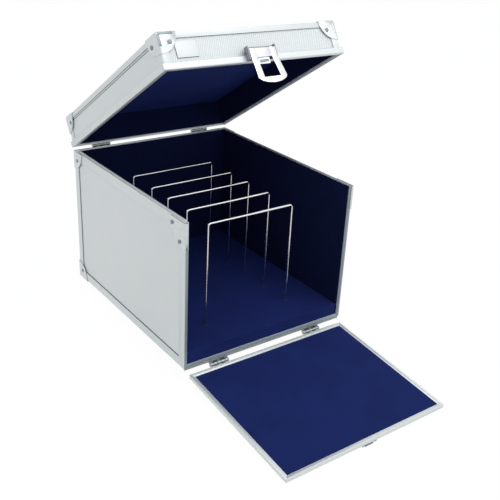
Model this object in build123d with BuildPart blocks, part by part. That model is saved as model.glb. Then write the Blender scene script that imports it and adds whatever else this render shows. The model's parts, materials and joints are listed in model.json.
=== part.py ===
from build123d import *
import os

os.makedirs("parts", exist_ok=True)

# Frame: the origin is the centre of the footprint on the plane that the four feet stand on.
# +Z is up, the drop front faces -Y, and the lid hinges along the rear edge at +Y.
# Lid pieces are drawn closed and turned about the lid pin into the open rest pose, and flap
# pieces are drawn closed and turned about the flap pin in the same way.

# Overall sizes
body_width = 240.0
body_depth = 282.0
body_height = 184.5
foot_height = 10.0
foot_radius = 7.5
foot_inset = 28.0
lid_height = 41.0
lid_side_inset = 0.5
lid_open_angle = 31.7
flap_open_angle = 95.5

# Wall build-up, from the outside in
skin = 1.0
board = 2.1
board_fit = 0.1
inner_leg = 0.8
lining = 0.85
lining_gap = 0.05
seat_gap = 0.3
frame_wall = skin + board + 2 * board_fit + inner_leg
wall = frame_wall + lining_gap + lining
board_face = skin + board_fit
board_back = board_face + board

# Extrusions
body_leg = 12.0
inner_reach = 5.0
core_wall = 1.4
edge_radius = 2.0
mitre_gap = 0.1
web = 1.2
front_band = 3.4
front_rebate = 1.2
rim_lip_width = 1.8
rim_lip_height = 1.0
rim_lip_lead = 0.5
rim_lip_fit = 0.3

# Lid frame
lid_top_leg = 7.0
lid_post_leg = 9.5
rim_gap = 0.3
rim_band_height = 7.8
rim_proud = 2.5
rim_rebate = 1.1
rim_web = 2.3
rim_bevel = 0.8
rear_leg = 13.5
band_side_wall = 1.2
band_face_wall = 1.0
post_gap = 0.2

# Drop front
flap_gap = 0.3
flap_thickness = 5.5
flap_top_gap = 0.3
flap_side_gap = 0.6
flap_strip = 2.6
flap_step = 5.0
flap_step_drop = 0.9
flap_edge_radius = 1.0
velvet_drop = 0.2

# Hinges
hinge_width = 26.0
hinge_leaf = 0.8
knuckle_count = 5
knuckle_gap = 0.3
lid_hinge_inset = 42.0
lid_pin_behind = 6.0
lid_pin_above = 0.5
lid_pin_radius = 1.25
lid_knuckle_radius = 2.6
flap_hinge_inset = 49.0
flap_pin_ahead = 2.1
flap_pin_below = 5.4
flap_pin_radius = 1.1
flap_knuckle_radius = 2.4
running_fit = 0.05
seated_fit = 0.02
leaf_fit = 0.05
leaf_hole = 8.0
lid_leaf_low = 12.0
lid_leaf_high = 13.0
lid_hole_low = 7.5
lid_hole_high = 8.5
shelf_drop = 0.5
comb_gap = 0.35
flap_leaf_depth = 11.5
flap_leaf_lead = 0.5
flap_hole = 7.5
flap_leaf_margin = 0.3
flap_leaf_inset = 0.8
leaf_screw_x = 10.4
leaf_screw_in = 2.2
leaf_screw_radius = 0.9
leaf_screw_grip = 2.6
leaf_screw_head = 0.5
leaf_screw_head_radius = 1.6

# Corner caps and rivets
cap_thickness = 0.9
cap_gap = 0.1
cap_reach = 24.0
front_cap_reach = 31.0
lid_cap_reach = 23.0
rivet_head = 2.6
rivet_dome = 1.0
rivet_shank = 1.2
rivet_hole_gap = 0.05
rivet_tail = 1.2
hinge_rivet_shank = 3.0
latch_rivet_shank = 6.0
cap_radius = 2.2
cap_edge_gap = 0.2
cap_rivet_u = 11.0
cap_rivet_v = 11.6
lid_cap_rivet_u = 13.5
lid_cap_rivet_v = 11.0
front_high_rivet_in = 26.6
front_high_rivet_drop = 7.8
front_low_rivet_in = 10.8
front_low_rivet_drop = 25.3

# Floor insert and wire dividers
deck_top = 19.5
deck_board = 4.0
deck_front = 3.0
deck_side_gap = 0.6
velvet = 0.85
wire_radius = 1.25
divider_span = 124.5
divider_top = 155.0
divider_x = 2.0
divider_bend = 3.5
divider_depth = 8.0
divider_row_1 = -94.0
divider_row_2 = -46.5
divider_row_3 = -1.0
divider_row_4 = 40.0
divider_row_5 = 89.5
wire_fit = 0.05
wire_end_gap = 0.4
batten_width = 18.0
batten_gap = 2.0
batten_end_gap = 11.0

# Feet and their screws
foot_taper = 3.0
foot_fit = 0.05
foot_hole = 1.75
foot_recess = 5.0
foot_recess_radius = 3.4
screw_radius = 1.7
screw_tail = 0.8
screw_head = 2.35
screw_head_radius = 3.2
screw_socket = 1.2
screw_socket_radius = 1.4

# Latch
latch_pin_ahead = 7.0
latch_pin_up = 11.5
latch_pin_radius = 1.25
claw_pin_ahead = 6.6
claw_pin_up = 6.5
claw_pin_radius = 0.8
lever_front = 9.9
lever_plate = 1.4
lever_half_width = 16.6
lever_foot_half_width = 17.6
lever_top = 13.3
lever_bottom = -23.0
window_half_width = 8.0
window_top = 3.8
window_bottom = -17.0
base_half_width = 18.8
cheek = 1.2
base_low = 1.2
base_high = 16.4
base_plate = 1.15
base_depth = 9.2
base_block_half_width = 15.0
base_block_low = 9.2
latch_rivet_x = 10.5
latch_rivet_up = 13.5
latch_pin_end = 0.6
lever_shoulder = 2.0
lever_foot_rise = 6.5
lever_cheek_inset = 0.2
lever_cheek_back = 5.2
lever_cheek_low = 3.5
claw_lug = 1.0
claw_lug_gap = 1.2
claw_lug_back = 5.0
claw_lug_half_height = 2.2
claw_barrel_radius = 1.6
claw_plate = 1.0
claw_plate_ahead = 6.5
claw_side = 1.1
claw_side_gap = 0.5
claw_bar = 1.4
claw_bar_in = 0.4
claw_bar_gap = 0.5
claw_window_gap = 1.5

# Catch on the drop front
catch_half_width = 10.5
catch_plate = 1.0
catch_height = 13.6
catch_drop = 0.4
catch_rivet_x = 7.0
catch_rivet_drop = 9.0
ledge_half_width = 5.8
ledge_out = 3.8
ledge_thickness = 1.2
ledge_drop = 0.8
lug_x = 9.1
lug_half_width = 0.9
lug_out = 2.4
lug_height = 2.6

# Handle
handle_half_span = 52.0
handle_pin_up = 5.5
handle_rod_radius = 2.5
handle_reach = 34.0
handle_grip_radius = 5.0
handle_rivet_y = 7.5
handle_rod_end = 1.0
handle_bend = 4.0
bracket_half_width = 10.0
bracket_half_depth = 10.6
bracket_plate = 1.2
barrel_half_length = 6.0
barrel_radius = 4.6
arm_gap = 5.0
grip_end_gap = 5.0
grip_round = 1.5

# Working values of the cuts: how far one starts outside a face, and how far it runs past a piece
lead = 1.0
overrun = 5.0
sunk = 0.1

# Planes that everything is tied to
side = body_width / 2
front = -body_depth / 2
rear = body_depth / 2
under = foot_height
rim = foot_height + body_height
inside = side - wall
sill_face = front + front_rebate
lid_side = side - lid_side_inset
lid_top = rim + lid_height
lid_pin = (0, rear + lid_pin_behind, rim + lid_pin_above)
flap_pin = (0, sill_face - flap_pin_ahead, under - flap_pin_below)
flap_inner = sill_face - flap_gap
flap_outer = flap_inner - flap_thickness
flap_side = side - front_band - flap_side_gap
flap_top = rim - flap_top_gap
deck = under + deck_top
flap_length = body_height - flap_top_gap
lid_hinge_x = side - lid_hinge_inset
flap_hinge_x = side - flap_hinge_inset
divider_rows = (divider_row_1, divider_row_2, divider_row_3, divider_row_4, divider_row_5)
front_cap_rivets = ((front_high_rivet_in, front_high_rivet_drop), (front_low_rivet_in, front_low_rivet_drop))
rivet_hole = rivet_shank + rivet_hole_gap
screw_hole = leaf_screw_radius + rivet_hole_gap
board_hole = board_back + board_fit
body_rivet_seat = cap_gap + cap_thickness
rivet_grip = body_rivet_seat + board_face + rivet_tail
leaf_low = under - leaf_fit - hinge_leaf

right_way = (1, 0, 0)
left_way = (-1, 0, 0)
back_way = (0, 1, 0)
front_way = (0, -1, 0)
up_way = (0, 0, 1)
down_way = (0, 0, -1)


def turned_plane(origin, across, inward):
    """A sketch plane whose x runs across and whose y runs inward."""
    return Plane(origin=origin, x_dir=across, z_dir=Vector(*across).cross(Vector(*inward)))


def mitre(corner, along, other):
    """Cuts the rail being drawn at the corner it shares with another rail."""
    normal = (Vector(*along) - Vector(*other)).normalized()
    split(bisect_by=Plane(origin=Vector(*corner) + normal * (mitre_gap / 2), z_dir=normal), keep=Keep.TOP)


def solid_box(low, high, mode=Mode.ADD):
    """A box between two opposite corners."""
    size = [high[i] - low[i] for i in range(3)]
    middle = tuple((high[i] + low[i]) / 2 for i in range(3))
    with Locations(middle):
        Box(size[0], size[1], size[2], mode=mode)


def bore(point, direction, radius, length):
    """Takes a round hole out of the piece being drawn."""
    with BuildSketch(Plane(origin=point, z_dir=direction)) as disc:
        Circle(radius)
    extrude(disc.sketch, amount=length, mode=Mode.SUBTRACT)


def rivet_bore(point, inward, depth):
    """Takes a rivet hole out of the piece being drawn, from outside the face at the point to the depth."""
    bore(Vector(*point) - Vector(*inward) * lead, inward, rivet_hole, depth + lead)


def rod(point, direction, radius, length):
    """Adds a round bar to the piece being drawn."""
    with BuildSketch(Plane(origin=point, z_dir=direction)) as disc:
        Circle(radius)
    extrude(disc.sketch, amount=length)


def make_rivet(shank):
    """A domed rivet standing on the origin with its head upwards."""
    ball = (rivet_head**2 + rivet_dome**2) / (2 * rivet_dome)
    with BuildPart() as made:
        with Locations((0, 0, rivet_dome - ball)):
            Sphere(ball)
        split(bisect_by=Plane.XY, keep=Keep.TOP)
        with BuildSketch(Plane.XY):
            Circle(rivet_shank)
        extrude(amount=-shank)
    return made.part


def rivet(made, point, outward):
    """Adds a copy of a rivet with its head seated on the point."""
    add(made.moved(Location(Plane(origin=point, z_dir=outward))))


def corner_profile(leg_u, leg_v):
    """Corner extrusion: a small tube with a channel for a board on each side."""
    with BuildLine() as outline:
        Polyline(
            (0, edge_radius),
            (0, leg_v),
            (skin, leg_v),
            (skin, frame_wall),
            (board_back + board_fit, frame_wall),
            (board_back + board_fit, frame_wall + inner_reach),
            (frame_wall, frame_wall + inner_reach),
            (frame_wall, frame_wall),
            (frame_wall + inner_reach, frame_wall),
            (frame_wall + inner_reach, board_back + board_fit),
            (frame_wall, board_back + board_fit),
            (frame_wall, skin),
            (leg_u, skin),
            (leg_u, 0),
            (edge_radius, 0),
        )
        RadiusArc((edge_radius, 0), (0, edge_radius), edge_radius)
    make_face(outline.line)
    with Locations(((core_wall + board_back) / 2, (core_wall + board_back) / 2)):
        Rectangle(board_back - core_wall, board_back - core_wall, mode=Mode.SUBTRACT)


def channel_profile(leg, edge):
    """Edge extrusion: a web across the wall with a long outer and a short inner leg."""
    with BuildLine() as outline:
        Polyline(
            (0, edge_radius),
            (0, wall),
            (edge, wall),
            (edge, frame_wall),
            (edge + inner_reach, frame_wall),
            (edge + inner_reach, board_back + board_fit),
            (edge, board_back + board_fit),
            (edge, skin),
            (leg, skin),
            (leg, 0),
            (edge_radius, 0),
        )
        RadiusArc((edge_radius, 0), (0, edge_radius), edge_radius)
    make_face(outline.line)


def rebate_profile():
    """Front upright: the outer band stands proud of the inner lip that the flap closes on."""
    channel_profile(body_leg, front_rebate + web)
    with Locations((front_rebate / 2, (front_band + wall) / 2)):
        Rectangle(front_rebate, wall - front_band, mode=Mode.SUBTRACT)


def lid_rim_profile(proud, leg):
    """Lid rim extrusion: a hollow outer band, a rebate over the body's lip and a board channel."""
    with BuildLine() as outline:
        Polyline(
            (0, rim_bevel - proud),
            (0, wall - rim_lip_width - rim_lip_fit - lid_side_inset),
            (rim_rebate, wall - rim_lip_width - rim_lip_fit - lid_side_inset),
            (rim_rebate, wall),
            (rim_web, wall),
            (rim_web, frame_wall),
            (rim_web + inner_reach, frame_wall),
            (rim_web + inner_reach, board_back + board_fit),
            (rim_web, board_back + board_fit),
            (rim_web, skin),
            (leg, skin),
            (leg, rim_bevel - proud),
            (leg - rim_bevel, -proud),
            (rim_bevel, -proud),
            (0, rim_bevel - proud),
        )
    make_face(outline.line)
    if proud > band_face_wall:
        with Locations((leg / 2, (skin - proud) / 2)):
            Rectangle(leg - 2 * band_side_wall, skin + proud - 2 * band_face_wall, mode=Mode.SUBTRACT)


def flap_profile():
    """Drop front extrusion: a bright outer strip and a lower step towards the velvet."""
    with BuildLine() as outline:
        Polyline(
            (0, flap_edge_radius),
            (0, flap_thickness),
            (flap_strip, flap_thickness),
            (flap_strip, flap_thickness - flap_step_drop),
            (flap_step, flap_thickness - flap_step_drop),
            (flap_step, board_back + board_fit),
            (web, board_back + board_fit),
            (web, skin),
            (body_leg, skin),
            (body_leg, 0),
            (flap_edge_radius, 0),
        )
        RadiusArc((flap_edge_radius, 0), (0, flap_edge_radius), flap_edge_radius)
    make_face(outline.line)


def corner_cap(corner, ball, ways, reach):
    """A pressed corner cap: the shell of a box corner trimmed to a ball."""
    grow = cap_gap + cap_thickness
    deep = 2 * reach
    outer = Box(deep + grow, deep + grow, deep + grow)
    inner = Box(deep + overrun, deep + overrun, deep + overrun)
    outer_middle = [corner[i] + ways[i] * (grow - deep) / 2 for i in range(3)]
    inner_middle = [corner[i] + ways[i] * (cap_gap - (deep + overrun) / 2) for i in range(3)]
    outer_tip = Vector(*[ways[i] * (deep + grow) / 2 for i in range(3)])
    inner_tip = Vector(*[ways[i] * (deep + overrun) / 2 for i in range(3)])
    outer_edges = [e for e in outer.edges() if e.distance_to(outer_tip) < sunk]
    inner_edges = [e for e in inner.edges() if e.distance_to(inner_tip) < sunk]
    outer = outer.fillet(cap_radius, outer_edges)
    inner = inner.fillet(cap_radius - cap_thickness, inner_edges)
    return (Pos(*outer_middle) * outer - Pos(*inner_middle) * inner) & (Pos(*ball) * Sphere(reach))


def to_lid(shape):
    """Turns a lid piece from closed into the open rest pose."""
    return shape.rotate(Axis(lid_pin, right_way), -lid_open_angle)


def to_flap(shape):
    """Turns a drop front piece from closed into the open rest pose."""
    return shape.rotate(Axis(flap_pin, right_way), flap_open_angle)


def knuckles(centre_x, pin, radius, hole, wanted):
    """Hinge barrels at the wanted places along the pin."""
    pitch = hinge_width / knuckle_count
    for i in wanted:
        start = centre_x - hinge_width / 2 + i * pitch + knuckle_gap / 2
        rod((start, pin[1], pin[2]), right_way, radius, pitch - knuckle_gap)
    bore((centre_x - hinge_width, pin[1], pin[2]), right_way, hole, 2 * hinge_width)


def knuckle_boxes(centre_x, wanted, low_yz, high_yz):
    """Strips of leaf that reach the barrels at the wanted places."""
    pitch = hinge_width / knuckle_count
    for i in wanted:
        start = centre_x - hinge_width / 2 + i * pitch + knuckle_gap / 2
        solid_box((start, low_yz[0], low_yz[1]), (start + pitch - knuckle_gap, high_yz[0], high_yz[1]))


body_knuckles = (0, 2, 4)
moving_knuckles = (1, 3)
cap_rivet = make_rivet(rivet_grip)
hinge_rivet = make_rivet(hinge_rivet_shank)
latch_rivet = make_rivet(latch_rivet_shank)

# Body boards
with BuildPart() as body_side_boards:
    solid_box(
        (-side + board_face, sill_face + web + seat_gap, under + frame_wall + seat_gap),
        (-side + board_back, rear - frame_wall - seat_gap, rim - web - seat_gap),
    )
    for u, v in front_cap_rivets:
        rivet_bore((-side, front + u, rim - v), right_way, board_hole)
    rivet_bore((-side, rear - cap_rivet_u, rim - cap_rivet_v), right_way, board_hole)
    rivet_bore((-side, rear - cap_rivet_u, under + cap_rivet_v), right_way, board_hole)
    mirror(about=Plane.YZ)
body_side_boards.part.label = "body_side_boards"
export_step(body_side_boards.part, "parts/body_side_boards.step")

with BuildPart() as body_rear_board:
    solid_box(
        (-side + frame_wall + seat_gap, rear - board_back, under + frame_wall + seat_gap),
        (side - frame_wall - seat_gap, rear - board_face, rim - web - seat_gap),
    )
    for way in (-1, 1):
        x = way * (side - cap_rivet_u)
        rivet_bore((x, rear, rim - cap_rivet_v), front_way, board_hole)
        rivet_bore((x, rear, under + cap_rivet_v), front_way, board_hole)
        for offset in (-leaf_hole, leaf_hole):
            rivet_bore((way * lid_hinge_x + offset, rear, rim - lid_hole_low), front_way, board_hole)
body_rear_board.part.label = "body_rear_board"
export_step(body_rear_board.part, "parts/body_rear_board.step")

with BuildPart() as body_floor_board:
    solid_box(
        (-side + frame_wall + seat_gap, sill_face + web + seat_gap, under + board_face),
        (side - frame_wall - seat_gap, rear - frame_wall - seat_gap, under + board_back),
    )
    for x in (-1, 1):
        for y in (-1, 1):
            bore((x * (side - foot_inset), y * (rear - foot_inset), under), up_way, foot_hole, board_hole)
        rivet_bore((x * (side - cap_rivet_u), rear - cap_rivet_v, under), up_way, board_hole)
        for offset in (-leaf_hole, leaf_hole):
            rivet_bore((x * flap_hinge_x + offset, sill_face + flap_hole, under), up_way, board_hole)
body_floor_board.part.label = "body_floor_board"
export_step(body_floor_board.part, "parts/body_floor_board.step")

# Body extrusions
with BuildPart() as bottom_side_rails:
    with BuildSketch(turned_plane((-side, 0, under), right_way, up_way)):
        corner_profile(body_leg, body_leg)
    extrude(amount=body_depth / 2, both=True)
    mitre((-side, front, under), back_way, up_way)
    mitre((-side, front, under), back_way, right_way)
    mitre((-side, rear, under), front_way, up_way)
    mitre((-side, rear, under), front_way, right_way)
    rivet_bore((-side + cap_rivet_u, rear - cap_rivet_v, under), up_way, board_face)
    rivet_bore((-side, rear - cap_rivet_u, under + cap_rivet_v), right_way, board_face)
    mirror(about=Plane.YZ)
bottom_side_rails.part.label = "bottom_side_rails"
export_step(bottom_side_rails.part, "parts/bottom_side_rails.step")

with BuildPart() as bottom_rear_rail:
    with BuildSketch(turned_plane((0, rear, under), front_way, up_way)):
        corner_profile(body_leg, body_leg)
    extrude(amount=side, both=True)
    mitre((-side, rear, under), right_way, up_way)
    mitre((-side, rear, under), right_way, front_way)
    mitre((side, rear, under), left_way, up_way)
    mitre((side, rear, under), left_way, front_way)
    for way in (-1, 1):
        x = way * (side - cap_rivet_u)
        rivet_bore((x, rear, under + cap_rivet_v), front_way, board_face)
        rivet_bore((x, rear - cap_rivet_v, under), up_way, board_face)
bottom_rear_rail.part.label = "bottom_rear_rail"
export_step(bottom_rear_rail.part, "parts/bottom_rear_rail.step")

with BuildPart() as rear_posts:
    with BuildSketch(turned_plane((-side, rear, (under + rim) / 2), right_way, front_way)):
        corner_profile(body_leg, body_leg)
    extrude(amount=body_height / 2, both=True)
    mitre((-side, rear, under), up_way, right_way)
    mitre((-side, rear, under), up_way, front_way)
    mitre((-side, rear, rim), down_way, right_way)
    mitre((-side, rear, rim), down_way, front_way)
    rivet_bore((-side, rear - cap_rivet_u, rim - cap_rivet_v), right_way, board_face)
    rivet_bore((-side, rear - cap_rivet_u, under + cap_rivet_v), right_way, board_face)
    rivet_bore((-side + cap_rivet_u, rear, rim - cap_rivet_v), front_way, board_face)
    rivet_bore((-side + cap_rivet_u, rear, under + cap_rivet_v), front_way, board_face)
    mirror(about=Plane.YZ)
rear_posts.part.label = "rear_posts"
export_step(rear_posts.part, "parts/rear_posts.step")

with BuildPart() as front_uprights:
    with BuildSketch(turned_plane((-side, front, (under + rim) / 2), back_way, right_way)):
        rebate_profile()
    extrude(amount=body_height / 2, both=True)
    mitre((-side, front, under), up_way, back_way)
    mitre((-side, front, under), up_way, right_way)
    mitre((-side, front, rim), down_way, back_way)
    for u, v in front_cap_rivets:
        rivet_bore((-side, front + u, rim - v), right_way, board_face)
    mirror(about=Plane.YZ)
front_uprights.part.label = "front_uprights"
export_step(front_uprights.part, "parts/front_uprights.step")

with BuildPart() as front_sill:
    with BuildSketch(turned_plane((0, sill_face, under), back_way, up_way)):
        channel_profile(body_leg, web)
    extrude(amount=side, both=True)
    mitre((-side, front, under), right_way, up_way)
    mitre((-side, front, under), right_way, back_way)
    mitre((side, front, under), left_way, up_way)
    mitre((side, front, under), left_way, back_way)
    for way in (-1, 1):
        for offset in (-leaf_hole, leaf_hole):
            x = way * flap_hinge_x + offset
            rivet_bore((x, sill_face + flap_hole, under), up_way, board_face)
front_sill.part.label = "front_sill"
export_step(front_sill.part, "parts/front_sill.step")

with BuildPart() as top_side_rims:
    with BuildSketch(turned_plane((-side, 0, rim), down_way, right_way)):
        channel_profile(body_leg, web)
    extrude(amount=body_depth / 2, both=True)
    solid_box(
        (-inside - rim_lip_width, front + wall + rim_lip_lead, rim - sunk),
        (-inside, rear, rim + rim_lip_height),
    )
    solid_box(
        (-side + front_band, front - overrun, rim - body_leg - overrun),
        (0, sill_face, rim + overrun),
        mode=Mode.SUBTRACT,
    )
    mitre((-side, front, rim), back_way, down_way)
    mitre((-side, rear, rim), front_way, down_way)
    mitre((-side, rear, rim), front_way, right_way)
    for u, v in front_cap_rivets:
        rivet_bore((-side, front + u, rim - v), right_way, board_face)
    rivet_bore((-side, rear - cap_rivet_u, rim - cap_rivet_v), right_way, board_face)
    mirror(about=Plane.YZ)
top_side_rims.part.label = "top_side_rims"
export_step(top_side_rims.part, "parts/top_side_rims.step")

with BuildPart() as top_rear_rim:
    with BuildSketch(turned_plane((0, rear, rim), down_way, front_way)):
        channel_profile(body_leg, web)
    extrude(amount=side, both=True)
    solid_box(
        (-side, rear - wall, rim - sunk),
        (side, rear - wall + rim_lip_width, rim + rim_lip_height),
    )
    mitre((-side, rear, rim), right_way, down_way)
    mitre((-side, rear, rim), right_way, front_way)
    mitre((side, rear, rim), left_way, down_way)
    mitre((side, rear, rim), left_way, front_way)
    for way in (-1, 1):
        for offset in (-leaf_hole, leaf_hole):
            x = way * lid_hinge_x + offset
            rivet_bore((x, rear, rim - lid_hole_low), front_way, board_face)
        x = way * (side - cap_rivet_u)
        rivet_bore((x, rear, rim - cap_rivet_v), front_way, board_face)
top_rear_rim.part.label = "top_rear_rim"
export_step(top_rear_rim.part, "parts/top_rear_rim.step")

# Velvet on the inside of the body walls
with BuildPart() as body_side_linings:
    for way in (-1, 1):
        outer_x = way * (side - frame_wall - lining_gap)
        inner_x = way * inside
        solid_box(
            (min(outer_x, inner_x), sill_face + web + seat_gap, under + frame_wall + seat_gap),
            (max(outer_x, inner_x), rear - wall - board_fit, rim - web - board_fit),
        )
body_side_linings.part.label = "body_side_linings"
export_step(body_side_linings.part, "parts/body_side_linings.step")

with BuildPart() as body_rear_lining:
    solid_box(
        (-inside - lining + board_fit, rear - wall, under + frame_wall + seat_gap),
        (inside + lining - board_fit, rear - frame_wall - lining_gap, rim - web - board_fit),
    )
body_rear_lining.part.label = "body_rear_lining"
export_step(body_rear_lining.part, "parts/body_rear_lining.step")

# Raised floor that the wire dividers plug into
deck_low = under + frame_wall + board_fit
deck_board_top = deck - velvet - lining_gap
deck_board_low = deck_board_top - deck_board
deck_half_width = inside - deck_side_gap
deck_back = rear - wall - deck_side_gap
deck_face = front + deck_front
deck_edge = deck_face + velvet + lining_gap
batten_back = deck_edge + batten_width
leg_x = divider_span / 2
with BuildPart() as floor_deck:
    solid_box(
        (-deck_half_width, deck_edge, deck_board_low),
        (deck_half_width, deck_back, deck_board_top),
    )
    for row in divider_rows:
        for way in (-1, 1):
            start = (divider_x + way * leg_x, row, deck_board_low - lead)
            bore(start, up_way, wire_radius + wire_fit, deck_board + 2 * lead)
floor_deck.part.label = "floor_deck"
export_step(floor_deck.part, "parts/floor_deck.step")

with BuildPart() as deck_battens:
    for way in (-1, 1):
        x = divider_x + way * leg_x
        solid_box(
            (x - batten_width / 2, batten_back + batten_gap, deck_low),
            (x + batten_width / 2, deck_back - batten_end_gap, deck_board_low),
        )
    solid_box((-deck_half_width, deck_edge, deck_low), (deck_half_width, batten_back, deck_board_low))
    for row in divider_rows:
        for way in (-1, 1):
            start = (divider_x + way * leg_x, row, deck_board_low + lead)
            bore(start, down_way, wire_radius + wire_fit, divider_depth + lead)
deck_battens.part.label = "deck_battens"
export_step(deck_battens.part, "parts/deck_battens.step")

with BuildPart() as deck_lining:
    solid_box((-deck_half_width, deck_face, deck - velvet), (deck_half_width, deck_back, deck))
    solid_box((-deck_half_width, deck_face, deck_low), (deck_half_width, deck_face + velvet, deck - velvet))
    for row in divider_rows:
        for way in (-1, 1):
            start = (divider_x + way * leg_x, row, deck - velvet - lead)
            bore(start, up_way, wire_radius + 2 * wire_fit, velvet + 2 * lead)
deck_lining.part.label = "deck_lining"
export_step(deck_lining.part, "parts/deck_lining.step")

# Wire dividers
wire_low = deck_board_low - divider_depth + wire_end_gap
wire_high = under + divider_top - wire_radius
for index, row in enumerate(divider_rows):
    with BuildPart() as divider:
        with BuildLine(Plane(origin=(divider_x, row, 0), x_dir=right_way, z_dir=front_way)):
            FilletPolyline(
                (-leg_x, wire_low),
                (-leg_x, wire_high),
                (leg_x, wire_high),
                (leg_x, wire_low),
                radius=divider_bend,
            )
        with BuildSketch(Plane(origin=(divider_x - leg_x, row, wire_low), z_dir=up_way)):
            Circle(wire_radius)
        sweep()
    divider.part.label = "divider_" + str(index + 1)
    export_step(divider.part, "parts/divider_" + str(index + 1) + ".step")

# Feet
with BuildPart() as feet:
    for x in (-1, 1):
        for y in (-1, 1):
            spot = (x * (side - foot_inset), y * (rear - foot_inset), 0)
            with BuildSketch(Plane(origin=spot, z_dir=up_way)):
                Circle(foot_radius)
            extrude(amount=foot_height - foot_fit, taper=foot_taper)
            bore(spot, up_way, foot_recess_radius, foot_recess)
            bore(spot, up_way, foot_hole, foot_height)
feet.part.label = "feet"
export_step(feet.part, "parts/feet.step")

screw_low = foot_recess - foot_fit - screw_head
screw_high = under + board_back + screw_tail
with BuildPart() as foot_screws:
    for x in (-1, 1):
        for y in (-1, 1):
            spot = (x * (side - foot_inset), y * (rear - foot_inset), screw_low)
            rod(spot, up_way, screw_head_radius, screw_head)
            rod(spot, up_way, screw_radius, screw_high - screw_low)
            bore(spot, up_way, screw_socket_radius, screw_socket)
foot_screws.part.label = "foot_screws"
export_step(foot_screws.part, "parts/foot_screws.step")

# Corner caps of the body
cap_above = 2 * overrun
cap_block = 2 * front_cap_reach
front_cap_shell = corner_cap((-side, front, rim + cap_above), (-side, front, rim), (-1, -1, 1), front_cap_reach)
with BuildPart() as front_caps:
    add(front_cap_shell)
    solid_box(
        (-side - overrun, front - overrun, rim - cap_gap),
        (-side + cap_block, front + cap_block, rim + cap_block),
        mode=Mode.SUBTRACT,
    )
    solid_box(
        (-side + front_band - cap_edge_gap, front - overrun, rim - cap_block),
        (-side + cap_block, front, rim + cap_block),
        mode=Mode.SUBTRACT,
    )
    for u, v in front_cap_rivets:
        rivet_bore((-side - body_rivet_seat, front + u, rim - v), right_way, rivet_grip)
    mirror(about=Plane.YZ)
front_caps.part.label = "front_caps"
export_step(front_caps.part, "parts/front_caps.step")

low_cap_shell = corner_cap((-side, rear, under), (-side, rear, under), (-1, 1, -1), cap_reach)
high_cap_shell = corner_cap((-side, rear, rim + cap_above), (-side, rear, rim), (-1, 1, 1), cap_reach)
with BuildPart() as rear_caps:
    add(low_cap_shell)
    add(high_cap_shell)
    solid_box(
        (-side - overrun, rear - cap_block, rim - cap_gap),
        (-side + cap_block, rear + overrun, rim + cap_block),
        mode=Mode.SUBTRACT,
    )
    for z in (under + cap_rivet_v, rim - cap_rivet_v):
        rivet_bore((-side - body_rivet_seat, rear - cap_rivet_u, z), right_way, rivet_grip)
        rivet_bore((-side + cap_rivet_u, rear + body_rivet_seat, z), front_way, rivet_grip)
    rivet_bore((-side + cap_rivet_u, rear - cap_rivet_v, under - body_rivet_seat), up_way, rivet_grip)
    mirror(about=Plane.YZ)
rear_caps.part.label = "rear_caps"
export_step(rear_caps.part, "parts/rear_caps.step")

with BuildPart() as body_rivets:
    for way in (-1, 1):
        x = way * (side + body_rivet_seat)
        outward = (way, 0, 0)
        for u, v in front_cap_rivets:
            rivet(cap_rivet, (x, front + u, rim - v), outward)
        rivet(cap_rivet, (x, rear - cap_rivet_u, rim - cap_rivet_v), outward)
        rivet(cap_rivet, (x, rear - cap_rivet_u, under + cap_rivet_v), outward)
        near = way * (side - cap_rivet_u)
        rivet(cap_rivet, (near, rear + body_rivet_seat, rim - cap_rivet_v), back_way)
        rivet(cap_rivet, (near, rear + body_rivet_seat, under + cap_rivet_v), back_way)
        rivet(cap_rivet, (near, rear - cap_rivet_v, under - body_rivet_seat), down_way)
        for offset in (-leaf_hole, leaf_hole):
            hinge_x = way * lid_hinge_x + offset
            rivet(hinge_rivet, (hinge_x, rear + leaf_fit + hinge_leaf, rim - lid_hole_low), back_way)
            hinge_x = way * flap_hinge_x + offset
            rivet(hinge_rivet, (hinge_x, sill_face + flap_hole, leaf_low), down_way)
body_rivets.part.label = "body_rivets"
export_step(body_rivets.part, "parts/body_rivets.step")

# Drop front
flap_middle = (under + flap_top) / 2
catch_rivet_z = flap_top - catch_rivet_drop
leaf_screw_y = flap_outer + leaf_screw_in
with BuildPart() as flap_board:
    solid_box(
        (-flap_side + web + seat_gap, flap_outer + board_face, under + web + seat_gap),
        (flap_side - web - seat_gap, flap_outer + board_back, flap_top - web - seat_gap),
    )
    for way in (-1, 1):
        rivet_bore((way * catch_rivet_x, flap_outer, catch_rivet_z), back_way, board_hole)
        for offset in (-leaf_screw_x, leaf_screw_x):
            bore((way * flap_hinge_x + offset, leaf_screw_y, under - lead), up_way, screw_hole, board_hole)
flap_board_open = to_flap(flap_board.part)
flap_board_open.label = "flap_board"
export_step(flap_board_open, "parts/flap_board.step")

with BuildPart() as flap_side_rails:
    with BuildSketch(turned_plane((-flap_side, flap_outer, flap_middle), right_way, back_way)):
        flap_profile()
    extrude(amount=flap_length / 2, both=True)
    mitre((-flap_side, flap_outer, under), up_way, right_way)
    mitre((-flap_side, flap_outer, flap_top), down_way, right_way)
    mirror(about=Plane.YZ)
flap_sides_open = to_flap(flap_side_rails.part)
flap_sides_open.label = "flap_side_rails"
export_step(flap_sides_open, "parts/flap_side_rails.step")

with BuildPart() as flap_hinge_rail:
    with BuildSketch(turned_plane((0, flap_outer, under), up_way, back_way)):
        flap_profile()
    extrude(amount=flap_side, both=True)
    mitre((-flap_side, flap_outer, under), right_way, up_way)
    mitre((flap_side, flap_outer, under), left_way, up_way)
    for way in (-1, 1):
        for offset in (-leaf_screw_x, leaf_screw_x):
            bore((way * flap_hinge_x + offset, leaf_screw_y, under - lead), up_way, screw_hole, board_hole)
flap_hinge_open = to_flap(flap_hinge_rail.part)
flap_hinge_open.label = "flap_hinge_rail"
export_step(flap_hinge_open, "parts/flap_hinge_rail.step")

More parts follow.
